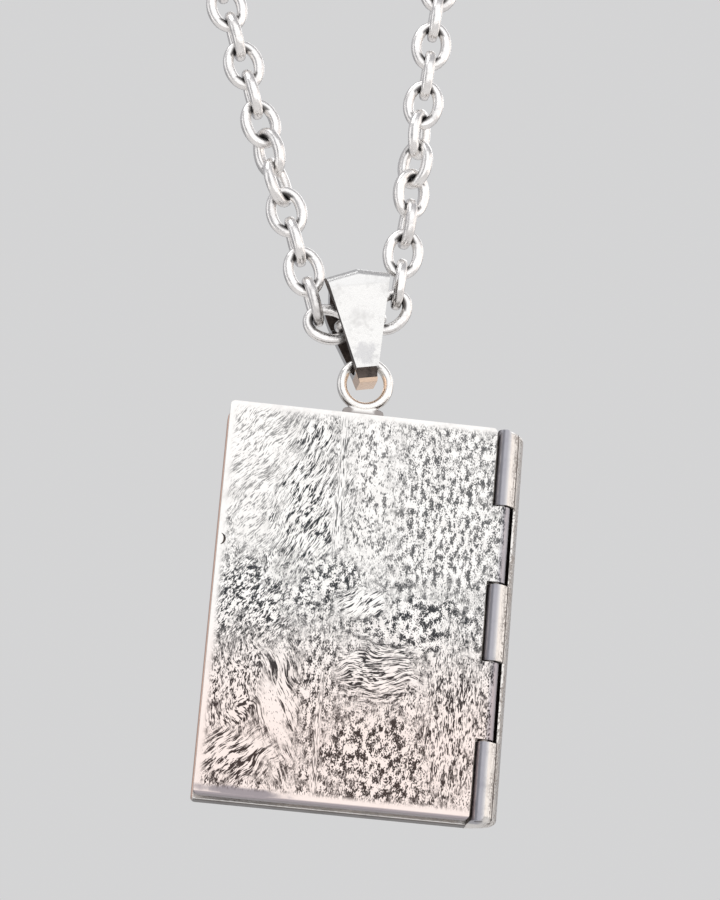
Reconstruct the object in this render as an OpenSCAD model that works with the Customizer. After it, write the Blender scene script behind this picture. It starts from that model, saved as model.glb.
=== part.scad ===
// Book locket on a cable chain, hanging from the top of its loop.
// Millimetres, +Z up, viewed from -Y. The origin is the inner side of the loop's top.

/* [Book] */
// Height of the covers
book_h = 27; // [25:0.5:30]
// Width of the front cover, from its opening edge to the hinge gap
cover_w = 18.4; // [16:0.2:20]
// Thickness of the closed book
book_t = 4.5; // [4.4:0.1:5]
// Thickness of the front cover
front_t = 0.9; // [0.8:0.05:0.95]
// Thickness of the back cover
back_t = 1.4; // [1:0.1:1.5]
// How far the page block stands back from the edges of the covers
page_inset = 0.6; // [0.4:0.1:0.8]
// Width of the page block's rim round the picture recess
rim_w = 1.6; // [1.2:0.1:2]
// Depth of the picture recess
recess_d = 1.9; // [1:0.1:2]
// Corner radius of the covers
corner_r = 0.3; // [0.2:0.05:0.5]
// Sideways lean of the book, as its heavy spine pulls it round in the bail
book_lean = 9; // [0:0.5:10]

/* [Spine and hinge] */
// How far the rounded spine stands past the front cover
spine_w = 2.1; // [2.05:0.05:2.2]
// How far the spine's curve bulges past its flat faces
spine_bulge = 1.2; // [1.15:0.01:1.25]
// Number of hinge knuckles, odd ones on the spine and even ones on the cover
knuckles = 5; // [5, 7]
// Outer radius of the cover's knuckles
tab_r = 0.6; // [0.58:0.01:0.62]
// Outer radius of the spine's knuckles
knuckle_r = 0.54; // [0.52:0.01:0.55]
// Radius of the hinge pin
pin_r = 0.25; // [0.22:0.01:0.26]
// Radial clearance of the pin in its knuckles
pin_gap = 0.04; // [0.02:0.01:0.05]
// Gap between neighbouring knuckles
knuckle_gap = 0.14; // [0.1:0.01:0.2]
// Distance of the pin from the front cover's edge
pin_out = 0.7; // [0.7:0.01:0.72]
// How far behind the pin's centre the spine's lip beside each tab starts
lip_back = 0.25; // [0.2:0.05:0.5]

/* [Ring] */
// Outer diameter of the ring on top of the book
ring_d = 3.95; // [3.8:0.05:4.2]
// Wire diameter of the ring
ring_wire = 0.7; // [0.6:0.05:0.75]
// Width of the soldered base under the ring
base_w = 2.9; // [2.5:0.1:3.2]
// Depth of the soldered base under the ring
base_d = 1.8; // [1.4:0.1:2]
// Height of the gap between the book and the ring
base_rise = 0.75; // [0.6:0.05:0.9]

/* [Bail] */
// Inner radius of the bail's eye
eye_r = 2; // [1.95:0.05:2.05]
// Wall of the bail's eye on its centre ridge
eye_wall = 0.75; // [0.7:0.05:0.8]
// How much lower the back of the eye is at its edges than on its ridge
ridge_drop = 0.2; // [0.1:0.05:0.25]
// Height of the front leaf's peak over the centre of the eye
brow_top = 2.55; // [2.4:0.05:2.6]
// How much lower the front leaf's top corners are than its peak
brow_drop = 0.5; // [0.3:0.05:0.6]
// How far the front leaf's top stands out before the centre of the eye
brow_out = 2.8; // [2.75:0.05:2.9]
// Distance from the eye's centre down to the ring's wire
bail_reach = 3.55; // [3.4:0.05:3.8]
// Inner radius of the hollow in which the ring's wire lies
foot_r = 0.84; // [0.82:0.01:0.86]
// Width of the bail at its top
bail_top_w = 4.9; // [4.7:0.05:4.95]
// Width of the strap over the chain, behind the front leaf
strap_w = 3.1; // [2.9:0.05:3.2]
// How far before the centre of the eye the back of the front leaf's corners lies
leaf_back = 1.75; // [1.7:0.05:1.8]
// Height over the centre of the eye above which the strap has that width
strap_z = 1.2; // [1.1:0.1:1.3]
// Width of the bail where its leaves end
bail_neck_w = 1.55; // [1.4:0.05:1.6]
// Distance from the ring's wire down to where the leaves end
neck_drop = 0.75; // [0.7:0.05:0.8]
// Distance from the ring's wire down to the bail's lower end
foot_drop = 1.7; // [1.6:0.05:1.8]
// How far the bail stands out to the front where its leaves end
neck_front = 1.5; // [1.4:0.05:1.5]
// How far the bail stands out to the back where its leaves end
neck_back = 1.3; // [1.25:0.05:1.3]
// Width of the bail at its foot
bail_foot_w = 1.2; // [1.1:0.05:1.3]
// Turn of the bail about the vertical
bail_turn = 2; // [0:1:4]
// Sideways lean of the bail on the chain
bail_lean = 3.3; // [2.9:0.1:3.5]

/* [Chain] */
// Length of one link
link_l = 3.71; // [3.7:0.01:3.74]
// Width of one link
link_w = 2.9; // [2.8:0.05:2.95]
// Wire diameter of the links
link_wire = 0.65; // [0.62:0.01:0.66]
// Distance from one link to the next
pitch = 2.26; // [2.22:0.01:2.27]
// Lean of each strand from the vertical
strand_lean = 11.8; // [11.7:0.05:12.2]
// Tilt of the lowest link, which hangs in the bail
low_tilt = 8; // [0:1:10]
// Sideways place of the lowest link
low_x = 0; // [-0.05:0.05:0.05]
// Depth of the lowest link below the centre of the bail's eye
low_drop = 0.7; // [0.5:0.05:0.8]
// Rise of the first link to the right of the lowest one
rise_right = 42; // [38:1:44]
// Rise of the first link to the left of the lowest one
rise_left = 16; // [14:1:20]
// Links in each straight strand
strand_links = 78; // [76:2:80]
// Links in each half of the arc over the top
arc_links = 28; // [28:2:28]
// Radius of the barrel clasp at the back of the neck
clasp_r = 1.3; // [1.1:0.05:1.4]

/* [Hidden] */
silver = "silver";
worn_silver = "lightgray";
dark_silver = "darkgray";
lap = 0.2;

// Chain path of each half, from the lowest link up to the clasp. Even links lie flat and odd ones stand
// in the plane of the loop. Points are (distance to the side, height above the lowest link's centre).
RIGHT = 0;
LEFT = 1;
SENSE = [1, -1];
RISE = [rise_right, rise_left];
side_links = 1 + strand_links + arc_links;
half_long = (link_l - link_wire) / 2;
half_short = pitch - half_long;
function heading(i, side) =
    i == 1 ? RISE[side]
    : i <= 1 + strand_links ? 90 - strand_lean
    : 90 - strand_lean + (i - 1 - strand_links - 0.5) * (90 + strand_lean) / arc_links;
function toward(i, side) = [cos(heading(i, side)), sin(heading(i, side))];
function half_step(i) = i % 2 == 0 ? half_long : half_short;
function low_end(side) = [
    half_long * cos(low_tilt) + SENSE[side] * low_x,
    SENSE[side] * half_long * sin(low_tilt)];
function path(side) = [for (i = 0, p = low_end(side);
    i <= side_links;
    i = i + 1, p = p + 2 * half_step(i) * toward(i, side)) p];
JOINTS = [path(RIGHT), path(LEFT)];
function middle(i, side) = JOINTS[side][i] - half_step(i) * toward(i, side);

// A loose chain turns slowly about itself. Columns: first link and last link of the quarter turn, its sense.
TURN = [[3.5, 8.5, 1], [4.5, 8.5, -1]];
function part_turned(i, t) = min(1, max(0, (i - t[0]) / (t[1] - t[0])));
function twist(i, side) = 90 * i + 90 * TURN[side][2] * part_turned(i, TURN[side]);

// Heights along the vertical through the bail
top_right = JOINTS[RIGHT][side_links];
top_left = JOINTS[LEFT][side_links];
clasp_tilt = atan((top_right[1] - top_left[1]) / (top_right[0] + top_left[0]));
top_z = link_w / 2;
low_link_z = top_z - (top_right[1] + top_left[1]) / 2;
eye_z = low_link_z + low_drop;
wire_z = eye_z - bail_reach;
ring_r = (ring_d - ring_wire) / 2;
ring_z = wire_z - ring_r;

// Heights in the bail, from the centre of its eye
neck_z = -bail_reach - neck_drop;
foot_z = -bail_reach - foot_drop;

// The book in its own frame, whose origin is the ring's centre
book_top = -ring_d / 2 - base_rise;
book_foot = book_top - book_h;
front_y = -book_t / 2;
back_y = book_t / 2;
inner_front_y = front_y + front_t;
page_y = inner_front_y + 0.1;
edge_x = cover_w / 2;
spine_x = edge_x + spine_w;
spine_r = (pow(book_t / 2, 2) + pow(spine_bulge, 2)) / (2 * spine_bulge);
pin_x = edge_x + pin_out;
pin_y = front_y + tab_r;
hinge_gap = 0.15;
relief_r = tab_r + 0.3;
knuckle_h = book_h / knuckles;
bore_r = pin_r + pin_gap;

module in_book() {
    translate([0, 0, ring_z]) rotate([0, book_lean, 0]) children();
}

// Points of a rectangle with round corners, in XZ
function round_corner(x, z, from, r) = [for (a = [0:30:90]) [x + r * cos(from + a), z + r * sin(from + a)]];
function round_rect(x0, x1, z0, z1, r) = concat(
    round_corner(x1 - r, z1 - r, 0, r),
    round_corner(x0 + r, z1 - r, 90, r),
    round_corner(x0 + r, z0 + r, 180, r),
    round_corner(x1 - r, z0 + r, 270, r));

// A plate in the XZ plane from depth y0 to depth y1
module plate(y0, y1) {
    translate([0, y1, 0]) rotate([90, 0, 0]) linear_extrude(height = y1 - y0) children();
}

// A prism along the spine from height z0 to height z1
module along_spine(z0, z1) {
    translate([0, 0, z0]) linear_extrude(height = z1 - z0) children();
}

// Lowest height of knuckle k, counted from the top
function knuckle_low(k) = book_top - (k + 1) * knuckle_h;

// A crescent nick for the fingernail, near the opening edge
module nail_nick() {
    nick_x = -edge_x + 0.32;
    nick_z = book_top - 0.35 * book_h;
    plate(front_y - 1, front_y + 0.22) difference() {
        translate([nick_x - 0.3, nick_z]) circle(r = 0.5, $fn = 48);
        translate([nick_x - 0.42, nick_z]) circle(r = 0.5, $fn = 48);
    }
}

module tab(k) {
    z0 = knuckle_low(k) + knuckle_gap / 2;
    z1 = knuckle_low(k) + knuckle_h - knuckle_gap / 2;
    along_spine(z0, z1) {
        translate([pin_x, pin_y]) circle(r = tab_r, $fn = 64);
        translate([edge_x - lap, front_y]) square([pin_x - edge_x + lap, front_t]);
    }
}

module front_cover() {
    color(worn_silver) in_book() difference() {
        union() {
            plate(front_y, inner_front_y)
                polygon(round_rect(-edge_x, edge_x, book_foot, book_top, corner_r));
            for (k = [1:2:knuckles - 1]) tab(k);
        }
        nail_nick();
        translate([pin_x, pin_y, book_foot - 1]) cylinder(r = bore_r, h = book_h + 2, $fn = 48);
    }
}

// Section of the spine: a round back whose front edge carries the knuckles
module spine_section() {
    left_x = edge_x + hinge_gap;
    intersection() {
        translate([spine_x - spine_r, 0]) circle(r = spine_r, $fn = 128);
        union() {
            translate([left_x, pin_y]) square([spine_w, back_y - pin_y]);
            translate([pin_x, pin_y - knuckle_r]) square([spine_w, back_y - pin_y + knuckle_r]);
        }
    }
    translate([pin_x, pin_y]) circle(r = knuckle_r, $fn = 64);
}

// Room for the cover's knuckle k, open to the front
module tab_room(k) {
    z0 = knuckle_low(k) - knuckle_gap / 2;
    tall = knuckle_h + knuckle_gap;
    translate([pin_x, pin_y, z0]) cylinder(r = relief_r, h = tall, $fn = 64);
    translate([edge_x, front_y - 1, z0]) cube([spine_w + 1, pin_y + lip_back - front_y + 1, tall]);
}

module page_block() {
    left = -edge_x + page_inset;
    right = edge_x + hinge_gap + lap;
    low = book_foot + page_inset;
    high = book_top - page_inset;
    difference() {
        translate([left, page_y, low]) cube([right - left, back_y - back_t - page_y + lap, high - low]);
        translate([left + rim_w, page_y - 1, low + rim_w])
            cube([edge_x - 2 * rim_w - left, recess_d + 1, high - low - 2 * rim_w]);
    }
}

module ring_base() {
    w = base_w / 2;
    top = book_top + base_rise + 0.2;
    plate(-base_d / 2, base_d / 2) polygon([
        [-w, book_top - page_inset - lap], [w, book_top - page_inset - lap],
        [w, top - 0.4], [w - 0.35, top], [0.35 - w, top], [-w, top - 0.4]]);
}

module back_case() {
    color(silver) in_book() difference() {
        union() {
            plate(back_y - back_t, back_y)
                polygon(round_rect(-edge_x, edge_x + hinge_gap + lap, book_foot, book_top, corner_r));
            page_block();
            along_spine(book_foot, book_top) spine_section();
            ring_base();
            rotate([90, 0, 0]) rotate_extrude($fn = 96) translate([ring_r, 0]) circle(d = ring_wire, $fn = 32);
        }
        for (k = [1:2:knuckles - 1]) tab_room(k);
        translate([pin_x, pin_y, book_foot - 1]) cylinder(r = bore_r, h = book_h + 2, $fn = 48);
    }
}

module hinge_pin() {
    color(dark_silver) in_book()
        translate([pin_x, pin_y, book_foot + 0.05]) cylinder(r = pin_r, h = book_h - 0.1, $fn = 48);
}

// Turns a section drawn in (y, z) into a prism along X, centred
module across(w) {
    rotate([90, 0, 90]) translate([0, 0, -w / 2]) linear_extrude(height = w) children();
}

// The hollow of the bail: the eye for the chain, closing in to the ring's wire
module bail_hollow() {
    slope = asin((eye_r - foot_r) / bail_reach);
    function touch(r, z) = [r * cos(slope), z - r * sin(slope)];
    upper = touch(eye_r, 0);
    lower = touch(foot_r, -bail_reach);
    across(bail_top_w + 2) {
        circle(r = eye_r, $fn = 96);
        translate([0, -bail_reach]) circle(r = foot_r, $fn = 64);
        polygon([upper, lower, [-lower[0], lower[1]], [-upper[0], upper[1]]]);
    }
}

// The bail's outline at its foot, its neck and its top, seen from the front
module bail_outline(top) {
    ends = [[bail_foot_w, foot_z - 0.1], [bail_neck_w, neck_z], [bail_top_w, top]];
    polygon([for (e = ends) [e[0] / 2, e[1]], for (k = [2:-1:0]) [-ends[k][0] / 2, ends[k][1]]]);
}

// What is cut away beside the strap, behind the front leaf
module strap_sides(top) {
    half_w = bail_top_w / 2;
    for (s = [-1, 1]) polygon([
        [s * strap_w / 2, top], [s * strap_w / 2, strap_z],
        [s * half_w, strap_z - 1], [s * (half_w + 1), strap_z - 1], [s * (half_w + 1), top]]);
}

// A block across the whole bail, on its neck or its foot
module bail_block(front, back, z, h) {
    translate([-bail_top_w / 2, -front, z]) cube([bail_top_w, front + back, h]);
}

// The bail's body from its brow and eye down to the neck
module bail_upper() {
    half_w = bail_top_w / 2;
    ridge_r = eye_r + eye_wall;
    brow_r = 0.7;
    hull() {
        for (s = [-90, 90]) rotate([0, s, 0])
            cylinder(h = half_w, r1 = ridge_r, r2 = ridge_r - ridge_drop, $fn = 64);
        for (s = [-1, 0, 1])
            translate([s * half_w, brow_r - brow_out, brow_top - brow_r - abs(s) * brow_drop])
                rotate([0, 90, 0]) cylinder(r = brow_r, h = 0.02, center = true, $fn = 32);
        bail_block(neck_front, neck_back, neck_z, 0.3);
    }
}

module bail_lower() {
    foot_y = 1;
    hull() {
        bail_block(neck_front, neck_back, neck_z, 0.1);
        bail_block(foot_y, foot_y, foot_z, 0.1);
    }
}

module bail() {
    top = eye_r + eye_wall + 0.1;
    deep = 4;
    color(silver) translate([0, 0, wire_z]) rotate([0, 0, bail_turn]) rotate([0, -bail_lean, 0])
        translate([0, 0, bail_reach]) difference() {
            intersection() {
                union() {
                    bail_upper();
                    bail_lower();
                }
                plate(-deep, deep) bail_outline(top);
            }
            plate(-leaf_back, deep) strap_sides(top);
            bail_hollow();
        }
}

// One half turn of a link's wire, at its +X end
module link_end() {
    translate([(link_l - link_w) / 2, 0, 0]) rotate([0, 0, -90])
        rotate_extrude(angle = 180, $fn = 24) translate([(link_w - link_wire) / 2, 0])
            circle(d = link_wire, $fn = 14);
}

// A link in the XY plane, its length along X
module chain_link() {
    straight = link_l - link_w;
    link_end();
    rotate([0, 0, 180]) link_end();
    for (s = [-1, 1]) translate([-straight / 2, s * (link_w - link_wire) / 2, 0])
        rotate([0, 90, 0]) cylinder(d = link_wire, h = straight, $fn = 14);
}

module strand(side, first) {
    color(silver) translate([0, 0, low_link_z]) rotate([0, 0, 180 * side])
        for (i = [first:side_links])
            translate([middle(i, side)[0], 0, middle(i, side)[1]])
                rotate([0, -heading(i, side), 0]) rotate([twist(i, side), 0, 0]) chain_link();
}

module chain_right() {
    strand(RIGHT, 1);
    color(silver) translate([low_x, 0, low_link_z]) rotate([0, -low_tilt, 0]) chain_link();
}

module chain_left() {
    strand(LEFT, 1);
}

// Barrel clasp with an eye at each end, in the plane of the loop
module clasp() {
    ring = (link_w - link_wire) / 2;
    apart = norm([top_right[0] + top_left[0], top_right[1] - top_left[1]]);
    ring_x = apart / 2 - ring;
    bar = 2 * (ring_x - ring) + 0.3;
    color(silver) translate([(top_right[0] - top_left[0]) / 2, 0, top_z]) rotate([0, -clasp_tilt, 0]) {
        translate([-bar / 2, 0, 0]) rotate([0, 90, 0]) cylinder(r = clasp_r, h = bar, $fn = 64);
        for (s = [-1, 1]) translate([s * ring_x, 0, 0]) rotate([90, 0, 0])
            rotate_extrude($fn = 64) translate([ring, 0]) circle(d = link_wire, $fn = 24);
    }
}

front_cover();
back_case();
hinge_pin();
bail();
chain_left();
chain_right();
clasp();
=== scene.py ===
"""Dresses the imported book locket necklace: softened pieces, worn silver, camera and light."""

import logging
import math
from dataclasses import dataclass, replace
from enum import Enum
from functools import reduce
from typing import Callable, Optional, Sequence, Tuple, Union

import bpy
from bpy.types import Material, Node, NodeSocket, NodeTree, Object
from mathutils import Matrix, Vector


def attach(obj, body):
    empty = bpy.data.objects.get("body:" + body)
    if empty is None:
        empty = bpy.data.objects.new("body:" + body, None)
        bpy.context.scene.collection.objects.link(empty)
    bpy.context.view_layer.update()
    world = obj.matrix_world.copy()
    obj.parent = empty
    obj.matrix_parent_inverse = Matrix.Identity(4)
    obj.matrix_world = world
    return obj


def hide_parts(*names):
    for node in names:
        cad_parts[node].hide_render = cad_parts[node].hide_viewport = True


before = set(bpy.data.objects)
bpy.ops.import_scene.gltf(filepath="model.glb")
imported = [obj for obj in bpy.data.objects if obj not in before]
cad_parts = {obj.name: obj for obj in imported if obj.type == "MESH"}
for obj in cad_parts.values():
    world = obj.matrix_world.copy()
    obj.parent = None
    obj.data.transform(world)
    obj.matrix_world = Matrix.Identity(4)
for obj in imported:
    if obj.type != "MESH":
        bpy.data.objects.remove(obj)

LOG = logging.getLogger("locket")
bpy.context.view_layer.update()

# A millimetre in metres, two distances in millimetres that count as none, the angle below which
# an edge is shaded smooth, and a reach in millimetres that takes in every depth of the book.
MM = 0.001
NEAR = 1e-3
TINY = 1e-4
SMOOTH_ANGLE = math.radians(40)
ALL_DEPTHS = 100.0

# Sides of round shapes, from the pin's bore to the bail's eye.
FEW_SIDES = 32
SIDES = 48
MORE_SIDES = 64
MOST_SIDES = 96

Pair = Tuple[float, float]
Point = Tuple[float, float, float]
Colour = Tuple[float, float, float, float]
Socket = Union[NodeSocket, float, Sequence[float]]


class Body(Enum):
    """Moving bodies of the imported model."""

    CHAIN = "chain"
    BAIL = "bail"
    BOOK = "book"
    COVER = "cover"


class Slot(Enum):
    """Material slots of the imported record."""

    COVER = "cover_silver"
    CASE = "case_silver"
    BAIL = "bail_silver"
    CHAIN = "chain_silver"
    CLASP = "clasp_silver"


class Axis(Enum):
    """Directions of a round rod, as the turn from upright."""

    X = (0, math.pi / 2, 0)
    Y = (math.pi / 2, 0, 0)
    Z = (0, 0, 0)


class Part(Enum):
    """Parts of a mesh that can be selected."""

    VERTS = "VERT"
    EDGES = "EDGE"
    FACES = "FACE"


class Meet(Enum):
    """What a tool does to a solid."""

    ADD = "UNION"
    CUT = "DIFFERENCE"
    TRIM = "INTERSECT"


@dataclass(frozen=True)
class ChainSizes:
    """Sizes of the chain in millimetres and its path in the loop's plane.

    The rise of link 1 and the turn, as first link, last link and sense, are given for each half.
    """

    link_l: float = 3.71
    link_w: float = 2.9
    wire: float = 0.65
    end_wire: float = 0.70
    side_wire: float = 0.78
    pitch: float = 2.26
    strand_lean: float = 11.8
    low_tilt: float = 8.0
    low_drop: float = 0.7
    rise: Pair = (42.0, 16.0)
    strand_links: int = 78
    arc_links: int = 28
    turn: Tuple[Point, Point] = ((3.5, 8.5, 1.0), (4.5, 8.5, -1.0))

    @property
    def side_links(self) -> int:
        """Links of one half, without the lowest one."""
        return 1 + self.strand_links + self.arc_links

    @property
    def half_long(self) -> float:
        """Half the distance between the end wires of a link that lies flat."""
        return (self.link_l - self.wire) / 2

    @property
    def half_short(self) -> float:
        """Half the distance between the pivots of a link that stands."""
        return self.pitch - self.half_long

    def heading(self, i: int, side: int) -> float:
        """Direction of a link above the sideways line.

        Args:
            i: Number of the link, counted from the lowest one.
            side: 0 for the right half, 1 for the left half.

        Returns:
            The angle in degrees.
        """
        if i == 1:
            return self.rise[side]
        if i <= 1 + self.strand_links:
            return 90 - self.strand_lean
        along = (i - 1 - self.strand_links - 0.5) / self.arc_links
        return 90 - self.strand_lean + along * (90 + self.strand_lean)

    def path(self, side: int) -> Tuple[list, list]:
        """Walks up one half of the loop.

        Args:
            side: 0 for the right half, 1 for the left half.

        Returns:
            The pivots, and the middles of links 1 to the last, as (sideways, height) pairs.
        """
        sense = 1 if side == 0 else -1
        tilt = math.radians(self.low_tilt)
        here = Vector((self.half_long * math.cos(tilt), sense * self.half_long * math.sin(tilt)))
        pivots, middles = [here.copy()], []
        for i in range(1, self.side_links + 1):
            angle = math.radians(self.heading(i, side))
            half = self.half_long if i % 2 == 0 else self.half_short
            step = Vector((math.cos(angle), math.sin(angle))) * half
            middles.append(here + step)
            here = here + 2 * step
            pivots.append(here.copy())
        return pivots, middles

    def twist(self, i: int, side: int) -> float:
        """Turn of link i about its own length, in degrees."""
        first, last, sense = self.turn[side]
        return 90 * i + 90 * sense * min(1.0, max(0.0, (i - first) / (last - first)))

    @property
    def ends(self) -> Tuple[Vector, Vector]:
        """Upper ends of the right and left halves, as (sideways, height) pairs."""
        return self.path(0)[0][-1], self.path(1)[0][-1]

    @property
    def top_z(self) -> float:
        """Height of the clasp's centre."""
        return self.link_w / 2

    @property
    def low_z(self) -> float:
        """Height of the lowest link's centre."""
        right, left = self.ends
        return self.top_z - (right.y + left.y) / 2

    @property
    def eye_z(self) -> float:
        """Height of the centre of the bail's eye."""
        return self.low_z + self.low_drop


@dataclass(frozen=True)
class BookSizes:
    """Sizes of the book in millimetres, in its own frame round the ring's centre."""

    height: float = 27.0
    cover_w: float = 18.4
    thick: float = 4.5
    front_t: float = 0.9
    back_t: float = 1.4
    page_inset: float = 0.6
    rim_w: float = 1.6
    recess_d: float = 1.9
    corner_r: float = 0.3
    lean: float = 9.0
    spine_w: float = 2.1
    spine_bulge: float = 1.2
    knuckles: int = 5
    tab_r: float = 0.6
    knuckle_r: float = 0.54
    bore_r: float = 0.29
    knuckle_gap: float = 0.14
    pin_out: float = 0.7
    hinge_gap: float = 0.15
    relief: float = 0.3
    lip_back: float = 0.25
    ring_d: float = 3.95
    ring_wire: float = 0.7
    base_w: float = 2.9
    base_rise: float = 0.75
    bail_reach: float = 3.55

    @property
    def top(self) -> float:
        """Height of the book's top."""
        return -self.ring_d / 2 - self.base_rise

    @property
    def foot(self) -> float:
        """Height of the book's foot."""
        return self.top - self.height

    @property
    def front_y(self) -> float:
        """Depth of the cover's face."""
        return -self.thick / 2

    @property
    def edge_x(self) -> float:
        """Half the cover's width."""
        return self.cover_w / 2

    @property
    def spine_x(self) -> float:
        """Right-hand end of the spine."""
        return self.edge_x + self.spine_w

    @property
    def spine_r(self) -> float:
        """Radius of the spine's curve."""
        return ((self.thick / 2) ** 2 + self.spine_bulge ** 2) / (2 * self.spine_bulge)

    @property
    def pin(self) -> Pair:
        """Place of the hinge pin as (x, y)."""
        return self.edge_x + self.pin_out, self.front_y + self.tab_r

    @property
    def room_r(self) -> float:
        """Radius of the room round the cover's tabs."""
        return self.tab_r + self.relief

    @property
    def pages(self) -> Pair:
        """Lower and upper end of the page block."""
        return self.foot + self.page_inset, self.top - self.page_inset

    @property
    def knuckle_h(self) -> float:
        """Height of one knuckle."""
        return self.height / self.knuckles

    def knuckle_low(self, k: int) -> float:
        """Lowest height of knuckle k, counted from the top."""
        return self.top - (k + 1) * self.knuckle_h

    def ring_z(self, chain: ChainSizes) -> float:
        """Height of the ring's centre in the shared frame."""
        return chain.eye_z - self.bail_reach - (self.ring_d - self.ring_wire) / 2


CHAIN = ChainSizes()
BOOK = BookSizes()
RING_Z = BOOK.ring_z(CHAIN)
IN_BOOK = (Matrix.Translation((0, 0, RING_Z * MM))
           @ Matrix.Rotation(math.radians(BOOK.lean), 4, "Y"))


class Bench:
    """Modelling by hand with Blender's operators, in millimetres round the origin."""

    @staticmethod
    def clear() -> None:
        """Leaves edit mode and deselects everything."""
        if bpy.context.object and bpy.context.object.mode != "OBJECT":
            bpy.ops.object.mode_set(mode="OBJECT")
        bpy.ops.object.select_all(action="DESELECT")

    @staticmethod
    def pick(*objs: Object) -> None:
        """Selects these objects alone, and makes the first one active.

        Args:
            *objs: The objects.
        """
        Bench.clear()
        for obj in objs:
            obj.select_set(True)
        bpy.context.view_layer.objects.active = objs[0]

    @staticmethod
    def fix() -> Object:
        """Puts the place, turn and scale of what is selected into its mesh.

        Returns:
            The active object.
        """
        bpy.ops.object.transform_apply(location=True, rotation=True, scale=True)
        return bpy.context.object

    @staticmethod
    def box(low: Sequence[float], high: Sequence[float]) -> Object:
        """Adds a box.

        Args:
            low: Its lowest corner.
            high: Its highest corner.

        Returns:
            The box.
        """
        Bench.clear()
        bpy.ops.mesh.primitive_cube_add(size=1, location=[(a + b) / 2 for a, b in zip(low, high)],
                                        scale=[b - a for a, b in zip(low, high)])
        return Bench.fix()

    @staticmethod
    def rod(radius: float, centre: Point, length: float, axis: Axis = Axis.Z,
            sides: int = SIDES) -> Object:
        """Adds a round rod.

        Args:
            radius: Its radius.
            centre: Its middle.
            length: Its length.
            axis: Its direction.
            sides: Its sides.

        Returns:
            The rod.
        """
        Bench.clear()
        bpy.ops.mesh.primitive_cylinder_add(
            vertices=sides, radius=radius, depth=length, location=centre, rotation=axis.value)
        return Bench.fix()

    @staticmethod
    def hoop(radius: float, wire: float, steps: int, sides: int, x: float = 0.0) -> Object:
        """Adds an upright ring of round wire that is seen open from the front.

        Args:
            radius: Radius of its middle line.
            wire: Thickness of its wire.
            steps: Steps round the ring.
            sides: Sides of the wire.
            x: Its place sideways.

        Returns:
            The ring.
        """
        Bench.clear()
        bpy.ops.mesh.primitive_torus_add(
            major_radius=radius, minor_radius=wire / 2, major_segments=steps, minor_segments=sides,
            location=(x, 0, 0), rotation=Axis.Y.value)
        return Bench.fix()

    @staticmethod
    def choose(obj: Object, kind: Part, test: Callable[[object], bool]) -> None:
        """Selects the parts of a mesh that pass a test, and opens it in edit mode.

        Args:
            obj: The object.
            kind: The kind of part.
            test: Takes a mesh vertex, the places of an edge's two ends, or a polygon.
        """
        Bench.pick(obj)
        bpy.ops.object.mode_set(mode="EDIT")
        bpy.ops.mesh.select_mode(type=kind.value)
        bpy.ops.mesh.select_all(action="DESELECT")
        bpy.ops.object.mode_set(mode="OBJECT")
        mesh = obj.data
        parts = {Part.VERTS: mesh.vertices, Part.EDGES: mesh.edges, Part.FACES: mesh.polygons}[kind]
        for part in parts:
            ends = [mesh.vertices[v].co for v in part.vertices] if kind is Part.EDGES else None
            part.select = test(ends or part)
        bpy.ops.object.mode_set(mode="EDIT")

    @staticmethod
    def runs_deep(ends: Sequence[Vector]) -> bool:
        """Whether an edge runs from the front to the back."""
        return abs((ends[0] - ends[1]).normalized().y) > 0.9

    @staticmethod
    def bevel(obj: Object, width: float, test: Callable[[Sequence[Vector]], bool],
              steps: int = 4) -> None:
        """Bevels some edges.

        Args:
            obj: The object.
            width: The bevel's width.
            test: Takes the places of an edge's two ends.
            steps: The bevel's steps.
        """
        Bench.choose(obj, Part.EDGES, test)
        bpy.ops.mesh.bevel(offset=width, segments=steps, affect="EDGES")
        bpy.ops.object.mode_set(mode="OBJECT")

    @staticmethod
    def apply(obj: Object, kind: str, **settings: object) -> None:
        """Adds a modifier and applies it.

        Args:
            obj: The object.
            kind: The modifier's type.
            **settings: Its settings by name.
        """
        Bench.pick(obj)
        modifier = obj.modifiers.new(kind.lower(), kind)
        for name, value in settings.items():
            setattr(modifier, name, value)
        bpy.ops.object.modifier_apply(modifier=modifier.name)

    @staticmethod
    def boolean(obj: Object, tool: Object, meet: Meet = Meet.CUT) -> None:
        """Works on obj with a tool, which is then removed."""
        Bench.apply(obj, "BOOLEAN", object=tool, operation=meet.value, solver="EXACT")
        bpy.data.objects.remove(tool)

    @staticmethod
    def soften(obj: Object, width: float, steps: int = 3, angle: float = 32.0) -> None:
        """Rounds the sharp edges, and shades the rest smooth.

        Args:
            obj: The object.
            width: Width of the rounding.
            steps: Its steps.
            angle: Degrees between two faces, past which their edge is sharp.
        """
        Bench.tidy(obj)
        Bench.apply(obj, "BEVEL", width=width, segments=steps, limit_method="ANGLE",
                    angle_limit=math.radians(angle), miter_outer="MITER_ARC")
        Bench.pick(obj)
        bpy.ops.object.shade_smooth_by_angle(angle=SMOOTH_ANGLE)
        Bench.apply(obj, "WEIGHTED_NORMAL", keep_sharp=True)

    @staticmethod
    def tidy(obj: Object) -> None:
        """Merges doubles and turns all faces outwards.

        Args:
            obj: The object.
        """
        Bench.choose(obj, Part.VERTS, lambda v: True)
        bpy.ops.mesh.remove_doubles(threshold=TINY)
        bpy.ops.mesh.select_all(action="SELECT")
        bpy.ops.mesh.normals_make_consistent(inside=False)
        bpy.ops.object.mode_set(mode="OBJECT")

    @staticmethod
    def join(objs: Sequence[Object]) -> Object:
        """Joins several objects into the first.

        Args:
            objs: The objects.

        Returns:
            The first one, with all meshes.
        """
        Bench.pick(*objs)
        bpy.ops.object.join()
        return objs[0]

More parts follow.
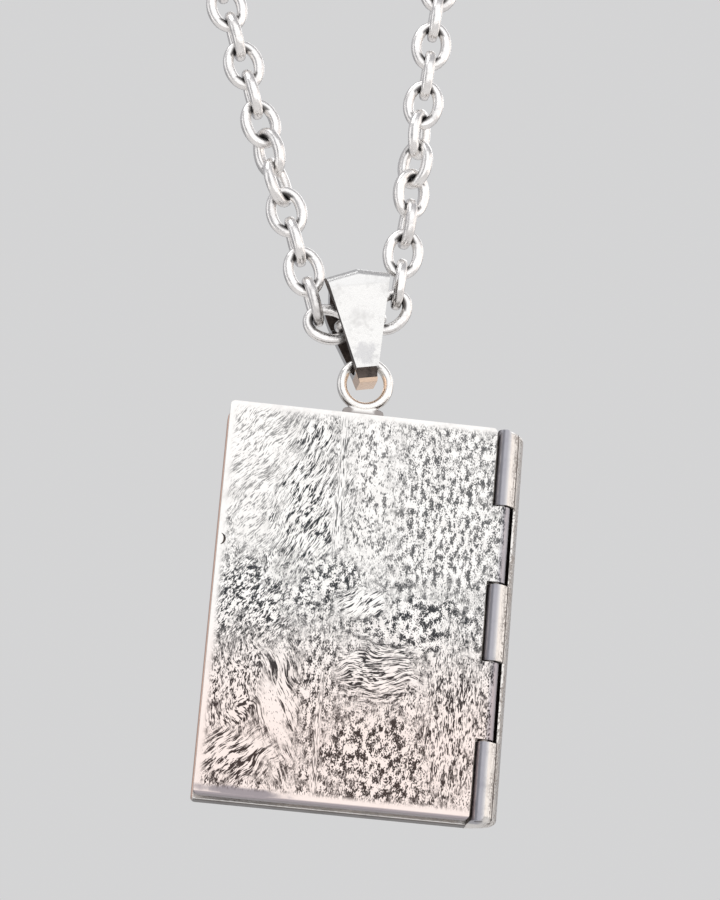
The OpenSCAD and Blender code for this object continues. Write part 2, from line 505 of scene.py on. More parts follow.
    @staticmethod
    def place(obj: Object, name: str, where: Matrix = Matrix.Identity(4)) -> Object:
        """Takes a finished piece from the bench into the shared frame.

        Args:
            obj: The piece, in millimetres round the origin.
            name: The piece's name.
            where: The bench's frame in the shared frame, in metres.

        Returns:
            The piece, with its place in its mesh.
        """
        Bench.pick(obj)
        obj.matrix_world = where @ Matrix.Scale(MM, 4)
        Bench.fix()
        obj.name = name
        obj.data.name = name
        return obj


class Pen:
    """Draws an outline in the XY plane with extruded points."""

    def __init__(self, x: float, y: float) -> None:
        """Starts at a point.

        Args:
            x: Its place sideways.
            y: Its place in depth.
        """
        Bench.clear()
        bpy.ops.mesh.primitive_plane_add(size=1)
        self.obj = bpy.context.object
        bpy.ops.object.mode_set(mode="EDIT")
        bpy.ops.mesh.merge(type="CENTER")
        bpy.ops.mesh.select_all(action="SELECT")
        bpy.ops.transform.translate(value=(x, y, 0))
        self.x, self.y = x, y

    def to(self, *points: Pair) -> "Pen":
        """Draws straight lines to one point after another.

        Args:
            *points: The points.

        Returns:
            The pen.
        """
        for x, y in points:
            bpy.ops.mesh.extrude_vertices_move(
                TRANSFORM_OT_translate={"value": (x - self.x, y - self.y, 0)})
            self.x, self.y = x, y
        return self

    def arc(self, x: float, y: float, degrees: float, steps: int) -> "Pen":
        """Draws an arc.

        Args:
            x: Its centre sideways.
            y: Its centre in depth.
            degrees: Its angle, anticlockwise where it is positive.
            steps: Its steps.

        Returns:
            The pen.
        """
        part = math.radians(degrees) / steps
        dx, dy = self.x - x, self.y - y
        for _ in range(steps):
            dx, dy = (dx * math.cos(part) - dy * math.sin(part),
                      dx * math.sin(part) + dy * math.cos(part))
            self.to((x + dx, y + dy))
        return self

    def prism(self, low: float, high: float) -> Object:
        """Closes the outline, fills it and extrudes it.

        Args:
            low: The height at which the prism starts.
            high: The height at which it ends.

        Returns:
            The prism.
        """
        bpy.ops.mesh.select_all(action="SELECT")
        bpy.ops.mesh.remove_doubles(threshold=TINY)
        bpy.ops.mesh.edge_face_add()
        bpy.ops.transform.translate(value=(0, 0, low))
        bpy.ops.mesh.extrude_region_move(TRANSFORM_OT_translate={"value": (0, 0, high - low)})
        bpy.ops.mesh.select_all(action="SELECT")
        bpy.ops.mesh.normals_make_consistent(inside=False)
        bpy.ops.object.mode_set(mode="OBJECT")
        return self.obj


class Graph:
    """Short ways to place and link shader nodes in one tree."""

    def __init__(self, tree: NodeTree) -> None:
        """Works in a tree."""
        self.tree = tree

    def put(self, socket: NodeSocket, value: Socket) -> None:
        """Links a socket to another, or gives it a value.

        Args:
            socket: The input.
            value: The socket or value that it takes.
        """
        if isinstance(value, NodeSocket):
            self.tree.links.new(value, socket)
        else:
            socket.default_value = value

    def node(self, kind: str, inputs: Optional[dict] = None, **settings: object) -> Node:
        """Adds a node.

        Args:
            kind: The node's type.
            inputs: Values or sockets for its inputs, by name or number.
            **settings: Its settings by name.

        Returns:
            The node.
        """
        made = self.tree.nodes.new(kind)
        for name, value in settings.items():
            setattr(made, name, value)
        for name, value in (inputs or {}).items():
            self.put(made.inputs[name], value)
        return made

    def math(self, operation: str, *values: Socket) -> NodeSocket:
        """A Math node's result."""
        return self.node("ShaderNodeMath", dict(enumerate(values)), operation=operation).outputs[0]

    def times(self, *values: Socket) -> NodeSocket:
        """The product of several values."""
        return reduce(lambda a, b: self.math("MULTIPLY", a, b), values)

    def plus(self, a: Socket, b: Socket) -> NodeSocket:
        """The sum of two values."""
        return self.math("ADD", a, b)

    def vector(self, operation: str, a: Socket, b: Socket = (0, 0, 0),
               output: str = "Vector") -> NodeSocket:
        """A Vector Math node's result."""
        return self.node("ShaderNodeVectorMath", {0: a, 1: b}, operation=operation).outputs[output]

    def axes(self, vector: Socket) -> Sequence[NodeSocket]:
        """The three parts of a vector."""
        return list(self.node("ShaderNodeSeparateXYZ", {0: vector}).outputs)

    def mapped(self, vector: Socket, start: Socket, turn: Socket, size: Socket) -> NodeSocket:
        """Coordinates of a field of cells.

        Args:
            vector: The coordinates.
            start: The point at which the field starts.
            turn: Its turn.
            size: The size of its cells.

        Returns:
            The field's own coordinates.
        """
        return self.node("ShaderNodeMapping", {
            "Vector": vector, "Location": start, "Rotation": turn, "Scale": size},
            vector_type="TEXTURE").outputs[0]

    def noise(self, vector: Socket, scale: Socket, detail: float = 2.0, rough: float = 0.5,
              output: str = "Fac") -> NodeSocket:
        """A noise texture's result."""
        return self.node("ShaderNodeTexNoise", {
            "Vector": vector, "Scale": scale, "Detail": detail, "Roughness": rough}).outputs[output]

    def ramp(self, value: Socket, low: Socket, high: Socket) -> NodeSocket:
        """A clamped smooth step that is 0 at low and 1 at high."""
        return self.node("ShaderNodeMapRange", {"Value": value, "From Min": low, "From Max": high},
                         interpolation_type="SMOOTHSTEP").outputs[0]

    def step(self, value: Socket, origin: float, ends: Pair) -> NodeSocket:
        """A smooth step whose two ends are counted from an origin."""
        return self.ramp(value, origin + ends[0], origin + ends[1])

    def blend(self, factor: Socket, a: Socket, b: Socket, kind: str = "RGBA") -> NodeSocket:
        """Mixes two colours, or two values of another kind.

        Args:
            factor: How much of b there is.
            a: The first one.
            b: The second one.
            kind: Their type.

        Returns:
            The mix.
        """
        return self.node("ShaderNodeMix", {"Factor": factor, "A": a, "B": b},
                         data_type=kind).outputs["Result"]

    def group(self, tree: NodeTree, **inputs: Socket) -> Node:
        """Places a node group and fills its inputs by name."""
        return self.node("ShaderNodeGroup", inputs, node_tree=tree)

    def mask(self, tree: NodeTree, **inputs: Socket) -> NodeSocket:
        """The mask of a node group."""
        return self.group(tree, **inputs).outputs["Mask"]


class Effects:
    """Node groups that several finishes share.

    A mark shows where its noise is above the mark level, which falls with the zone's cover. Where
    marks gather, the space between them fills with a paler tone.
    """

    MARK_LEVEL = 0.648
    MARK_COVER = -0.3
    MARK_EDGE = 0.045
    FILL_LEVEL = (0.49, 0.40)
    PATCH_RIM = (1.35, 0.6)
    SHEEN_SCALES = (0.5, 3.2)
    SHEEN_LEVEL = (0.48, 0.68)
    SHEEN_ROUGHER = 0.25
    SHEEN_TONE = (0.6, 0.4)
    SHEEN_HEIGHT = (0.7, 0.3)

    def __init__(self) -> None:
        """Builds every group once."""
        self.grain = self._grain()
        self.patch = self._patch()
        self.sheen = self._sheen()

    @staticmethod
    def _tree(name: str, inputs: dict, outputs: dict) -> Tuple[Graph, dict, dict]:
        """Starts a group.

        Args:
            name: The group's name.
            inputs: Name to default value, where None stands for a vector.
            outputs: Name to socket kind.

        Returns:
            Its graph, its input sockets by name, and the sockets of its results by name.
        """
        tree = bpy.data.node_groups.new(name, "ShaderNodeTree")
        for key, value in inputs.items():
            kind = "Vector" if value is None else "Float" if isinstance(value, float) else "Color"
            socket = tree.interface.new_socket(key, in_out="INPUT", socket_type="NodeSocket" + kind)
            if value is not None:
                socket.default_value = value
        for key, kind in outputs.items():
            tree.interface.new_socket(key, in_out="OUTPUT", socket_type="NodeSocket" + kind)
        start, end = tree.nodes.new("NodeGroupInput"), tree.nodes.new("NodeGroupOutput")
        return (Graph(tree), {key: start.outputs[key] for key in inputs},
                {key: end.inputs[key] for key in outputs})

    def _grain(self) -> NodeTree:
        """Fine broken marks in one direction of the XZ plane, gathered in bundles.

        Returns:
            The group.
        """
        g, i, out = self._tree("grain", {
            "Vector": None, "Start": None, "Turn": None, "Fine": None, "Bundles": None,
            "Cover": 0.4, "Gather": 0.8, "Fill": 0.4}, {"Mask": "Float"})
        fine = g.noise(g.mapped(i["Vector"], i["Start"], i["Turn"], i["Fine"]), 1.0, 1.0, 0.5)
        herd = g.noise(g.mapped(i["Vector"], i["Start"], i["Turn"], i["Bundles"]), 1.0, 2.0, 0.6)
        level = g.math("MULTIPLY_ADD", i["Cover"], self.MARK_COVER, self.MARK_LEVEL)
        level = g.math("SUBTRACT", level, g.times(g.math("SUBTRACT", herd, 0.5), i["Gather"]))
        marks = g.ramp(fine, level, g.plus(level, self.MARK_EDGE))
        fill = g.times(g.ramp(level, *self.FILL_LEVEL), i["Fill"])
        g.put(out["Mask"], g.math("MAXIMUM", marks, fill))
        return g.tree

    def _patch(self) -> NodeTree:
        """A soft ragged oval in the XZ plane, which may stand tilted.

        Returns:
            The group.
        """
        g, i, out = self._tree("patch", {
            "Vector": None, "Centre": None, "Turn": None, "Half": None, "Ragged": 0.0},
            {"Mask": "Float"})
        at = g.mapped(i["Vector"], i["Centre"], i["Turn"], i["Half"])
        far = g.vector("LENGTH", at, output="Value")
        g.put(out["Mask"], g.ramp(g.plus(far, i["Ragged"]), *self.PATCH_RIM))
        return g.tree

    def _sheen(self) -> NodeTree:
        """The lively surface of hand-finished silver: tone, roughness and small dents.

        Returns:
            The group.
        """
        g, i, out = self._tree("sheen", {
            "Vector": None, "Tone": (0.8, 0.8, 0.8, 1), "Shade": (0.5, 0.5, 0.5, 1),
            "Roughness": 0.3, "Lively": 0.5},
            {"Color": "Color", "Roughness": "Float", "Height": "Float"})
        broad = g.noise(i["Vector"], self.SHEEN_SCALES[0], 3.0, 0.55)
        small = g.noise(i["Vector"], self.SHEEN_SCALES[1], 4.0, 0.6)
        tone, height = (g.plus(g.times(broad, a), g.times(small, b))
                        for a, b in (self.SHEEN_TONE, self.SHEEN_HEIGHT))
        dull = g.times(g.ramp(tone, *self.SHEEN_LEVEL), i["Lively"])
        g.put(out["Color"], g.blend(dull, i["Tone"], i["Shade"]))
        g.put(out["Roughness"], g.plus(i["Roughness"], g.times(dull, self.SHEEN_ROUGHER)))
        g.put(out["Height"], height)
        return g.tree


@dataclass
class Surface:
    """A material in the making: its graph, its coordinates in book millimetres and its values."""

    g: Graph
    fx: Effects
    local: Socket
    colour: Socket
    rough: Socket
    height: Socket
    metal: Socket = 1.0
    reach: float = 1.3

    def coat(self, mask: Socket, amount: float, tint: Colour) -> None:
        """Lays a tint over the colour where a mask has it."""
        self.colour = self.g.blend(self.g.times(mask, amount), self.colour, tint)

    def dull(self, mask: Socket, amount: float) -> None:
        """Roughens the surface where a mask has it."""
        self.rough = self.g.plus(self.rough, self.g.times(mask, amount))

    def ragged(self, scale: float) -> NodeSocket:
        """Noise that makes the rims of patches uneven."""
        noise = self.g.noise(self.local, scale, 4.0, 0.65)
        return self.g.math("MULTIPLY_ADD", noise, 2 * self.reach, -self.reach)


@dataclass(frozen=True)
class Silver:
    """A hand-finished silver: its colours, its liveliness and the depth of its dents."""

    name: str
    tone: Colour = (0.88, 0.86, 0.83, 1)
    shade: Colour = (0.42, 0.40, 0.39, 1)
    roughness: float = 0.24
    lively: float = 0.4
    dent: float = 0.06
    # Painted shade where links meet, read from the piece's own attribute.
    contact_shade: float = 0.0
    contact_shade_tone: Colour = (0.05, 0.045, 0.045, 1)
    contact_shade_rougher: float = 0.2

    def make(self, fx: Effects) -> Material:
        """Builds the material from its sheen and what its own kind adds.

        Args:
            fx: The shared effects.

        Returns:
            The material.
        """
        material = bpy.data.materials.new(self.name)
        material.use_nodes = True
        g = Graph(material.node_tree)
        where = g.node("ShaderNodeTexCoord").outputs["Object"]
        local = g.mapped(where, (0, 0, RING_Z * MM), (0, math.radians(BOOK.lean), 0), (MM, MM, MM))
        sheen = g.group(fx.sheen, Vector=local, Tone=self.tone, Shade=self.shade,
                        Roughness=self.roughness, Lively=self.lively).outputs
        s = Surface(g, fx, local, sheen["Color"], sheen["Roughness"], sheen["Height"])
        self.age(s)
        bump = g.node("ShaderNodeBump", {"Height": s.height, "Distance": self.dent * MM,
                                         "Strength": 1.0}).outputs[0]
        shader = next(n for n in g.tree.nodes if n.type == "BSDF_PRINCIPLED")
        for name, value in (("Base Color", s.colour), ("Roughness", s.rough),
                            ("Metallic", s.metal), ("Normal", bump)):
            g.put(shader.inputs[name], value)
        return material

    def age(self, s: Surface) -> None:
        """Adds painted shade where the piece's own attribute has it.

        Args:
            s: The surface, which is changed.
        """
        if self.contact_shade:
            # Painted shade: darker where the piece's attribute marks it.
            dark = s.g.node("ShaderNodeAttribute", attribute_name="contact_shade").outputs["Fac"]
            dark = s.g.times(dark, self.contact_shade)
            s.colour = s.g.blend(dark, s.colour, self.contact_shade_tone)
            s.dull(dark, self.contact_shade_rougher)


@dataclass(frozen=True)
class GrainZone:
    """A zone of marks on the cover, placed by fractions of its size from the top left."""

    centre: Pair
    half: Pair
    angle: float
    fine: Pair = (0.3, 0.12)
    cover: float = 0.45
    bundles: Pair = (1.1, 0.7)
    gather: float = 1.0
    waver: float = 0.0
    tilt: float = 0.0
    strength: float = 0.95


@dataclass(frozen=True)
class ScratchedAndShadedSilver(Silver):
    """The cover's finish: scratched and pitted silver with dark oxide in its marks, and painted
    shade.

    The marks are cold above and warm below, between two fractions of the book's height. They leave
    the cover's rims clear, between two distances from each rim.
    """

    name: str = "scratched_silver"
    tone: Colour = (0.90, 0.88, 0.85, 1)
    shade: Colour = (0.62, 0.60, 0.58, 1)
    roughness: float = 0.34
    lively: float = 0.35
    dent: float = 0.02
    cold: Colour = (0.010, 0.015, 0.022, 1)
    warm: Colour = (0.026, 0.012, 0.010, 1)
    blush: Colour = (0.90, 0.76, 0.70, 1)
    blush_amount: float = 0.8
    warm_from: float = 0.45
    warm_to: float = 0.15
    # A dark smudge at the lower left and painted shade along the cover's foot share this tint.
    patch_and_shade: Colour = (0.20, 0.18, 0.21, 1)
    patch_and_shade_amount: float = 0.8
    dark_patch_at: Pair = (0.17, 0.987)
    dark_patch_half: Pair = (0.16, 0.012)
    dark_patch_tilt: float = -1.5
    # Painted shade along the cover's foot.
    foot_shade_strip: Pair = (0.24, 0.12)
    # Painted shade on the rolled ends of the cover's tabs.
    rolled: Colour = (0.26, 0.25, 0.30, 1)
    rolled_shade_amount: float = 0.75
    rolled_shade_from: Pair = (0.55, 0.95)
    face_rim: Pair = (0.12, 0.02)
    side_rim: Pair = (0.15, 0.7)
    foot_rim: Pair = (0.35, 0.8)
    top_rim: Pair = (-0.15, -0.65)
    ragged_scale: float = 0.8
    sway_scale: float = 0.4
    field_start: float = 3.0
    field_step: float = 7.7
    fine_scale: float = 0.50
    herd_scale: float = 0.54
    gathering: float = 0.85
    fill: float = 0.45
    grit_cells: Point = (0.14, 1.0, 0.26)
    grit_height: float = 0.6
    marks_rougher: float = 0.25
    marks_duller: float = 0.15
    zones: Tuple[GrainZone, ...] = (
        GrainZone((0.50, 0.50), (2.0, 2.0), 90, (0.35, 0.12), 0.42, (1.2, 0.8), 0.9),
        GrainZone((0.82, 0.26), (0.27, 0.28), 90, (0.26, 0.12), 0.42,
                  (1.2, 0.6), 1.5, 0.0, 0.0, 0.85),
        GrainZone((0.53, 0.20), (0.12, 0.26), 90, (0.4, 0.11), 0.24,
                  (0.9, 0.6), 1.3, 0.0, 0.0, 0.8),
        GrainZone((0.15, 0.16), (0.28, 0.26), 52, (0.8, 0.11), 0.32,
                  (2.0, 0.45), 0.8, 0.8, 0.0, 0.62),
        GrainZone((0.33, 0.27), (0.13, 0.26), 65, (0.9, 0.12), 0.40, (2.2, 0.45), 1.0, 0.8),
        GrainZone((0.432, 0.24), (0.016, 0.36), 90, (1.3, 0.11), 0.36,
                  (3.0, 0.25), 0.6, 0.0, 0.0, 0.8),
        GrainZone((0.12, 0.53), (0.22, 0.13), 56, (0.38, 0.12), 0.50, (0.9, 0.5), 0.9, 0.5),
        GrainZone((0.43, 0.48), (0.14, 0.11), 84, (0.24, 0.13), 0.44, (0.9, 0.7), 1.6),
        GrainZone((0.78, 0.54), (0.30, 0.10), 90, (0.2, 0.13), 0.48, (1.1, 0.8), 1.5),
        GrainZone((0.55, 0.49), (0.10, 0.035), 30, (1.0, 0.11), 0.26, (1.6, 0.35), 1.0, 1.5),
        GrainZone((0.60, 0.665), (0.20, 0.08), 6, (1.0, 0.13), 0.46, (2.0, 0.4), 1.1, 2.6),
        GrainZone((0.12, 0.75), (0.18, 0.15), 98, (0.5, 0.12), 0.44, (1.0, 0.5), 1.0, 2.0),
        GrainZone((0.30, 0.79), (0.10, 0.20), 117, (1.1, 0.12), 0.46, (2.4, 0.42), 1.3, 1.0),
        GrainZone((0.13, 0.90), (0.16, 0.065), 44, (1.1, 0.12), 0.42, (2.0, 0.4), 1.2, 1.0),
        GrainZone((0.41, 0.74), (0.07, 0.24), 90, (0.3, 0.12), 0.46, (1.4, 0.5), 1.3),
        GrainZone((0.67, 0.88), (0.30, 0.12), 86, (0.28, 0.13), 0.50, (1.0, 0.65), 1.4),
        GrainZone((0.91, 0.76), (0.10, 0.20), 90, (0.6, 0.11), 0.44, (1.2, 0.5), 0.8),
        GrainZone((0.426, 0.86), (0.012, 0.20), 90, (1.2, 0.11), 0.40,
                  (3.0, 0.3), 0.6, 0.0, 0.0, 0.8),
        GrainZone((0.262, 0.78), (0.034, 0.085), 117, (0.5, 0.12), 0.0, (1.0, 1.0), 0.2, 0.0, 24.0),
    )

    @staticmethod
    def patch(s: Surface, centre: Pair, half: Pair, tilt: float, ragged: Socket) -> NodeSocket:
        """A patch on the cover's face.

        Args:
            s: The surface.
            centre: Its middle, as fractions of the cover from the top left.
            half: Its half width and height, as fractions of the cover.
            tilt: Its turn in degrees.
            ragged: Noise for its rim.

        Returns:
            Its mask.
        """
        spot = (BOOK.cover_w * (centre[0] - 0.5), BOOK.front_y, BOOK.top - BOOK.height * centre[1])
        reach = (BOOK.cover_w * half[0], ALL_DEPTHS, BOOK.height * half[1])
        return s.g.mask(s.fx.patch, Vector=s.local, Centre=spot, Half=reach,
                        Turn=(0, -math.radians(tilt), 0), Ragged=ragged)

    def marks(self, s: Surface, ragged: Socket) -> Socket:
        """Lays one zone of strokes and pits after another.

        Args:
            s: The surface.
            ragged: Noise for the zones' rims.

        Returns:
            The mask of all marks.
        """
        g = s.g
        sway = g.noise(s.local, self.sway_scale, 1.0, output="Color")
        sway = g.vector("SUBTRACT", sway, (0.5, 0.5, 0.5))
        marks: Socket = 0.0
        for n, zone in enumerate(self.zones):
            bent = s.local
            if zone.waver:
                bent = g.vector("ADD", bent, g.vector("MULTIPLY", sway, (zone.waver,) * 3))
            fine, herd = ((size[0] * scale, 1.0, size[1] * scale) for size, scale in (
                (zone.fine, self.fine_scale), (zone.bundles, self.herd_scale)))
            start = (0.0, self.field_step * n + self.field_start, 0.0)
            grain = g.mask(s.fx.grain, Vector=bent, Start=start,
                           Turn=(0, -math.radians(zone.angle), 0), Fine=fine, Bundles=herd,
                           Cover=zone.cover, Gather=zone.gather * self.gathering, Fill=self.fill)
            inside = self.patch(s, zone.centre, zone.half, zone.tilt, ragged)
            marks = g.blend(inside, marks, g.times(grain, zone.strength), "FLOAT")
        return marks

    def age(self, s: Surface) -> None:
        """Tints the clean metal, lays a smudge and painted shade on it, and lays the marks over it.

        Args:
            s: The surface, which is changed.
        """
        g = s.g
        x, y, z = g.axes(s.local)
        ragged = s.ragged(self.ragged_scale)
        kept = g.times(g.step(y, BOOK.front_y, self.face_rim),
                       g.step(x, -BOOK.edge_x, self.side_rim),
                       g.step(z, BOOK.foot, self.foot_rim), g.step(z, BOOK.top, self.top_rim))
        marks = g.times(self.marks(s, ragged), kept)
        warmth = g.ramp(z, BOOK.top - self.warm_from * BOOK.height,
                        BOOK.foot + self.warm_to * BOOK.height)
        s.coat(warmth, self.blush_amount, self.blush)
        # A dark smudge at the lower left, then painted shade along the foot, in the same tint.
        smudge = self.patch(s, self.dark_patch_at, self.dark_patch_half, self.dark_patch_tilt,
                            g.times(ragged, 0.5))
        foot_shade = g.step(z, BOOK.foot, self.foot_shade_strip)
        s.coat(g.math("MAXIMUM", smudge, foot_shade), self.patch_and_shade_amount, self.patch_and_shade)
        # Painted shade on the rolled ends of the tabs, right of the cover's edge.
        s.coat(g.step(x, BOOK.edge_x, self.rolled_shade_from), self.rolled_shade_amount, self.rolled)
        s.colour = g.blend(marks, s.colour, g.blend(warmth, self.cold, self.warm))
        s.dull(marks, self.marks_rougher)
        grit = g.noise(g.mapped(s.local, (0, 0, 0), (0, 0, 0), self.grit_cells), 1.0, 2.0)
        s.height = g.plus(s.height, g.times(grit, self.grit_height))
        s.metal = g.math("SUBTRACT", 1.0, g.times(marks, self.marks_duller))


@dataclass(frozen=True)
class ReflectionAndShadeSilver(Silver):
    """Back cover's finish: a painted copper-pink reflection on its left edge, painted shade below
    its foot.
    """

    name: str = "case_silver"
    roughness: float = 0.30
    lively: float = 0.5
    dent: float = 0.04
    # Painted copper-pink reflection along the left edge.
    copper: Colour = (0.80, 0.50, 0.37, 1)
    copper_reflection_amount: float = 0.85
    copper_reflection_edge: Pair = (0.12, 0.04)
    # Painted shade on the underside, at the foot.
    under_shade: Colour = (0.09, 0.075, 0.07, 1)
    under_shade_amount: float = 0.95
    under_shade_edge: Pair = (0.10, 0.02)

    def age(self, s: Surface) -> None:
        """Paints a reflection on the left edge and shade on the underside.

        Args:
            s: The surface, which is changed.
        """
        x, _, z = s.g.axes(s.local)
        # Painted reflection on the left edge, then painted shade on the underside.
        s.coat(s.g.step(x, -BOOK.edge_x, self.copper_reflection_edge), self.copper_reflection_amount, self.copper)
        s.coat(s.g.step(z, BOOK.foot, self.under_shade_edge), self.under_shade_amount, self.under_shade)


@dataclass(frozen=True)
class WornAndShadedSilver(Silver):
    """The spine's finish: upright scratches, few pits, and painted shade in the hinge's hollow."""

    name: str = "spine_silver"
    tone: Colour = (0.86, 0.83, 0.79, 1)
    roughness: float = 0.30
    lively: float = 0.5
    dent: float = 0.03
    scratch_start: Point = (0.0, 21.0, 0.0)
    scratch_cells: Tuple[Point, Point] = ((0.1, 1.0, 2.4), (0.4, 1.0, 3.0))
    scratch_cover: float = 0.4
    scratch_gather: float = 0.6
    scratch_amount: float = 0.55
    pit_start: Point = (0.0, 31.0, 0.0)
    pit_cells: Tuple[Point, Point] = ((0.11, 1.0, 0.16), (0.3, 1.0, 1.2))
    pit_cover: float = 0.22
    pit_gather: float = 1.0
    marks_from: Pair = (1.0, 1.5)
    marks_tone: Colour = (0.13, 0.09, 0.07, 1)
    marks_amount: float = 0.55
    marks_rougher: float = 0.25
    # Painted shade on the knuckles' front, in the hollow of the hinge.
    hollow: Colour = (0.27, 0.27, 0.32, 1)
    hollow_shade_amount: float = 0.8
    hollow_shade_from: Pair = (1.15, 0.7)
    hollow_shade_depth: Pair = (0.0, -0.6)

    def age(self, s: Surface) -> None:
        """Paints shade in the hollow of the hinge, and lays scratches and pits on the spine's
        curve.

        Args:
            s: The surface, which is changed.
        """
        g = s.g
        x, y, _ = g.axes(s.local)
        lines, pits = (g.mask(s.fx.grain, Vector=s.local, Start=start, Fine=cells[0],
                              Bundles=cells[1], Cover=cover, Gather=gather)
                       for start, cells, cover, gather in (
            (self.scratch_start, self.scratch_cells, self.scratch_cover, self.scratch_gather),
            (self.pit_start, self.pit_cells, self.pit_cover, self.pit_gather)))
        marks = g.times(g.math("MAXIMUM", g.times(lines, self.scratch_amount), pits),
                        g.step(x, BOOK.edge_x, self.marks_from))
        # Painted shade in the hinge's hollow, on the front only.
        inner = g.times(g.step(x, BOOK.edge_x, self.hollow_shade_from), g.ramp(y, *self.hollow_shade_depth))
        s.coat(inner, self.hollow_shade_amount, self.hollow)
        s.coat(marks, self.marks_amount, self.marks_tone)
        s.dull(marks, self.marks_rougher)
        s.height = g.math("SUBTRACT", g.times(s.height, 0.5), marks)


@dataclass(frozen=True)
class SolderedSilver(Silver):
    """The ring's finish: bright, with dull grey solder on its base and in the corners there."""

    name: str = "ring_silver"
    tone: Colour = (0.90, 0.88, 0.85, 1)
    roughness: float = 0.22
    lively: float = 0.3
    solder: Colour = (0.20, 0.17, 0.16, 1)
    solder_amount: float = 0.8
    solder_rougher: float = 0.2
    base_edge: Pair = (0.1, -0.25)
    corner_out: Pair = (0.5, 0.9)
    corner_wall: Pair = (-0.05, 0.1)
    corner_z: Pair = (-1.0, -1.3)

    def age(self, s: Surface) -> None:
        """Lays the solder.

        Args:
            s: The surface, which is changed.
        """
        g = s.g
        x, _, z = g.axes(s.local)
        aside = g.ramp(g.math("ABSOLUTE", x), *self.corner_out)
        far = g.vector("LENGTH", s.local, output="Value")
        wall = g.step(far, BOOK.ring_d / 2, self.corner_wall)
        solder = g.math("MAXIMUM", g.step(z, -BOOK.ring_d / 2, self.base_edge),
                        g.times(wall, aside, g.ramp(z, *self.corner_z)))
        s.coat(solder, self.solder_amount, self.solder)
        s.dull(solder, self.solder_rougher)


@dataclass(frozen=True)
class BailSilver(Silver):
    """The bail's finish: smooth and bright, smudged above its neck, a painted copper-pink
    reflection on its foot.
    """

    name: str = "bail_silver"
    tone: Colour = (0.78, 0.775, 0.76, 1)
    shade: Colour = (0.52, 0.51, 0.50, 1)
    roughness: float = 0.27
    dent: float = 0.03
    smudge: Colour = (0.30, 0.30, 0.33, 1)
    smudge_amount: float = 0.35
    smudge_at: Point = (-0.3, 0.0, 1.8)
    smudge_half: Point = (0.75, ALL_DEPTHS, 0.7)
    ragged_scale: float = 1.8
    # Painted copper-pink reflection on the foot.
    copper: Colour = (0.97, 0.74, 0.57, 1)
    copper_reflection_z: Pair = (0.58, 0.46)

    def age(self, s: Surface) -> None:
        """Lays the smudge and paints a copper-pink reflection on the foot.

        Args:
            s: The surface, which is changed.
        """
        _, _, z = s.g.axes(s.local)
        worn = s.g.mask(s.fx.patch, Vector=s.local, Centre=self.smudge_at, Half=self.smudge_half,
                        Ragged=s.ragged(self.ragged_scale))
        s.coat(worn, self.smudge_amount, self.smudge)
        # Painted reflection: the foot turns copper-pink.
        s.colour = s.g.blend(s.g.ramp(z, *self.copper_reflection_z), s.colour, self.copper)


SATIN = Silver("page_silver", tone=(0.74, 0.71, 0.67, 1), shade=(0.34, 0.32, 0.31, 1),
               roughness=0.38, lively=0.8)
PIN = Silver("pin_silver", tone=(0.55, 0.53, 0.51, 1), roughness=0.4)
# The links carry painted shade at their inner ends, where they meet.
LINKS = Silver("chain_silver", tone=(0.93, 0.91, 0.89, 1), shade=(0.60, 0.58, 0.57, 1),
               roughness=0.27, lively=0.5, contact_shade=0.85)
BARREL = Silver("clasp_silver", roughness=0.22, lively=0.3)
# Dark oxide and painted shade, for hollows and gaps.
OXIDE_AND_SHADE = Silver("oxide", tone=(0.11, 0.09, 0.08, 1), shade=(0.04, 0.035, 0.035, 1),
               roughness=0.42, lively=0.8)


@dataclass
class Maker:
    """What every sub-assembly needs: the shared effects, and how a piece joins the frame."""

    fx: Effects

    def dress(self, obj: Object, finish: Material, body: Body, slot: Slot,
              *nodes: str) -> None:
        """Gives a piece its finish and its body, and hides the nodes that it stands for.

        Args:
            obj: The placed piece.
            finish: Its material.
            body: The body it moves with.
            slot: The record's material slot; not used.
            *nodes: The CAD nodes that it replaces.
        """
        obj.data.materials.clear()
        obj.data.materials.append(finish)
        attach(obj, body.value)
        if nodes:
            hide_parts(*nodes)
        LOG.info("%s: %d faces on %s", obj.name, len(obj.data.polygons), body.value)

    def darken(self, obj: Object, where: Matrix, test: Callable[[Vector], bool]) -> None:
        """Gives the faces of a hollow a dark finish, which stands for oxide and painted shade.

        Args:
            obj: The dressed piece.
            where: The bench's frame that it was placed with.
            test: Takes a face's middle in bench millimetres.
        """
        back = (where @ Matrix.Scale(MM, 4)).inverted()
        obj.data.materials.append(replace(OXIDE_AND_SHADE, name=f"{obj.name}_oxide").make(self.fx))
        Bench.choose(obj, Part.FACES, lambda p: test(back @ p.center))
        obj.active_material_index = len(obj.data.materials) - 1
        bpy.ops.object.material_slot_assign()
        bpy.ops.object.mode_set(mode="OBJECT")

    @staticmethod
    def bore(obj: Object) -> None:
        """Cuts the pin's bore through a piece of the book.

        Args:
            obj: The piece.
        """
        middle = (*BOOK.pin, (BOOK.top + BOOK.foot) / 2)
        Bench.boolean(obj, Bench.rod(BOOK.bore_r, middle, BOOK.height + 2, sides=FEW_SIDES))


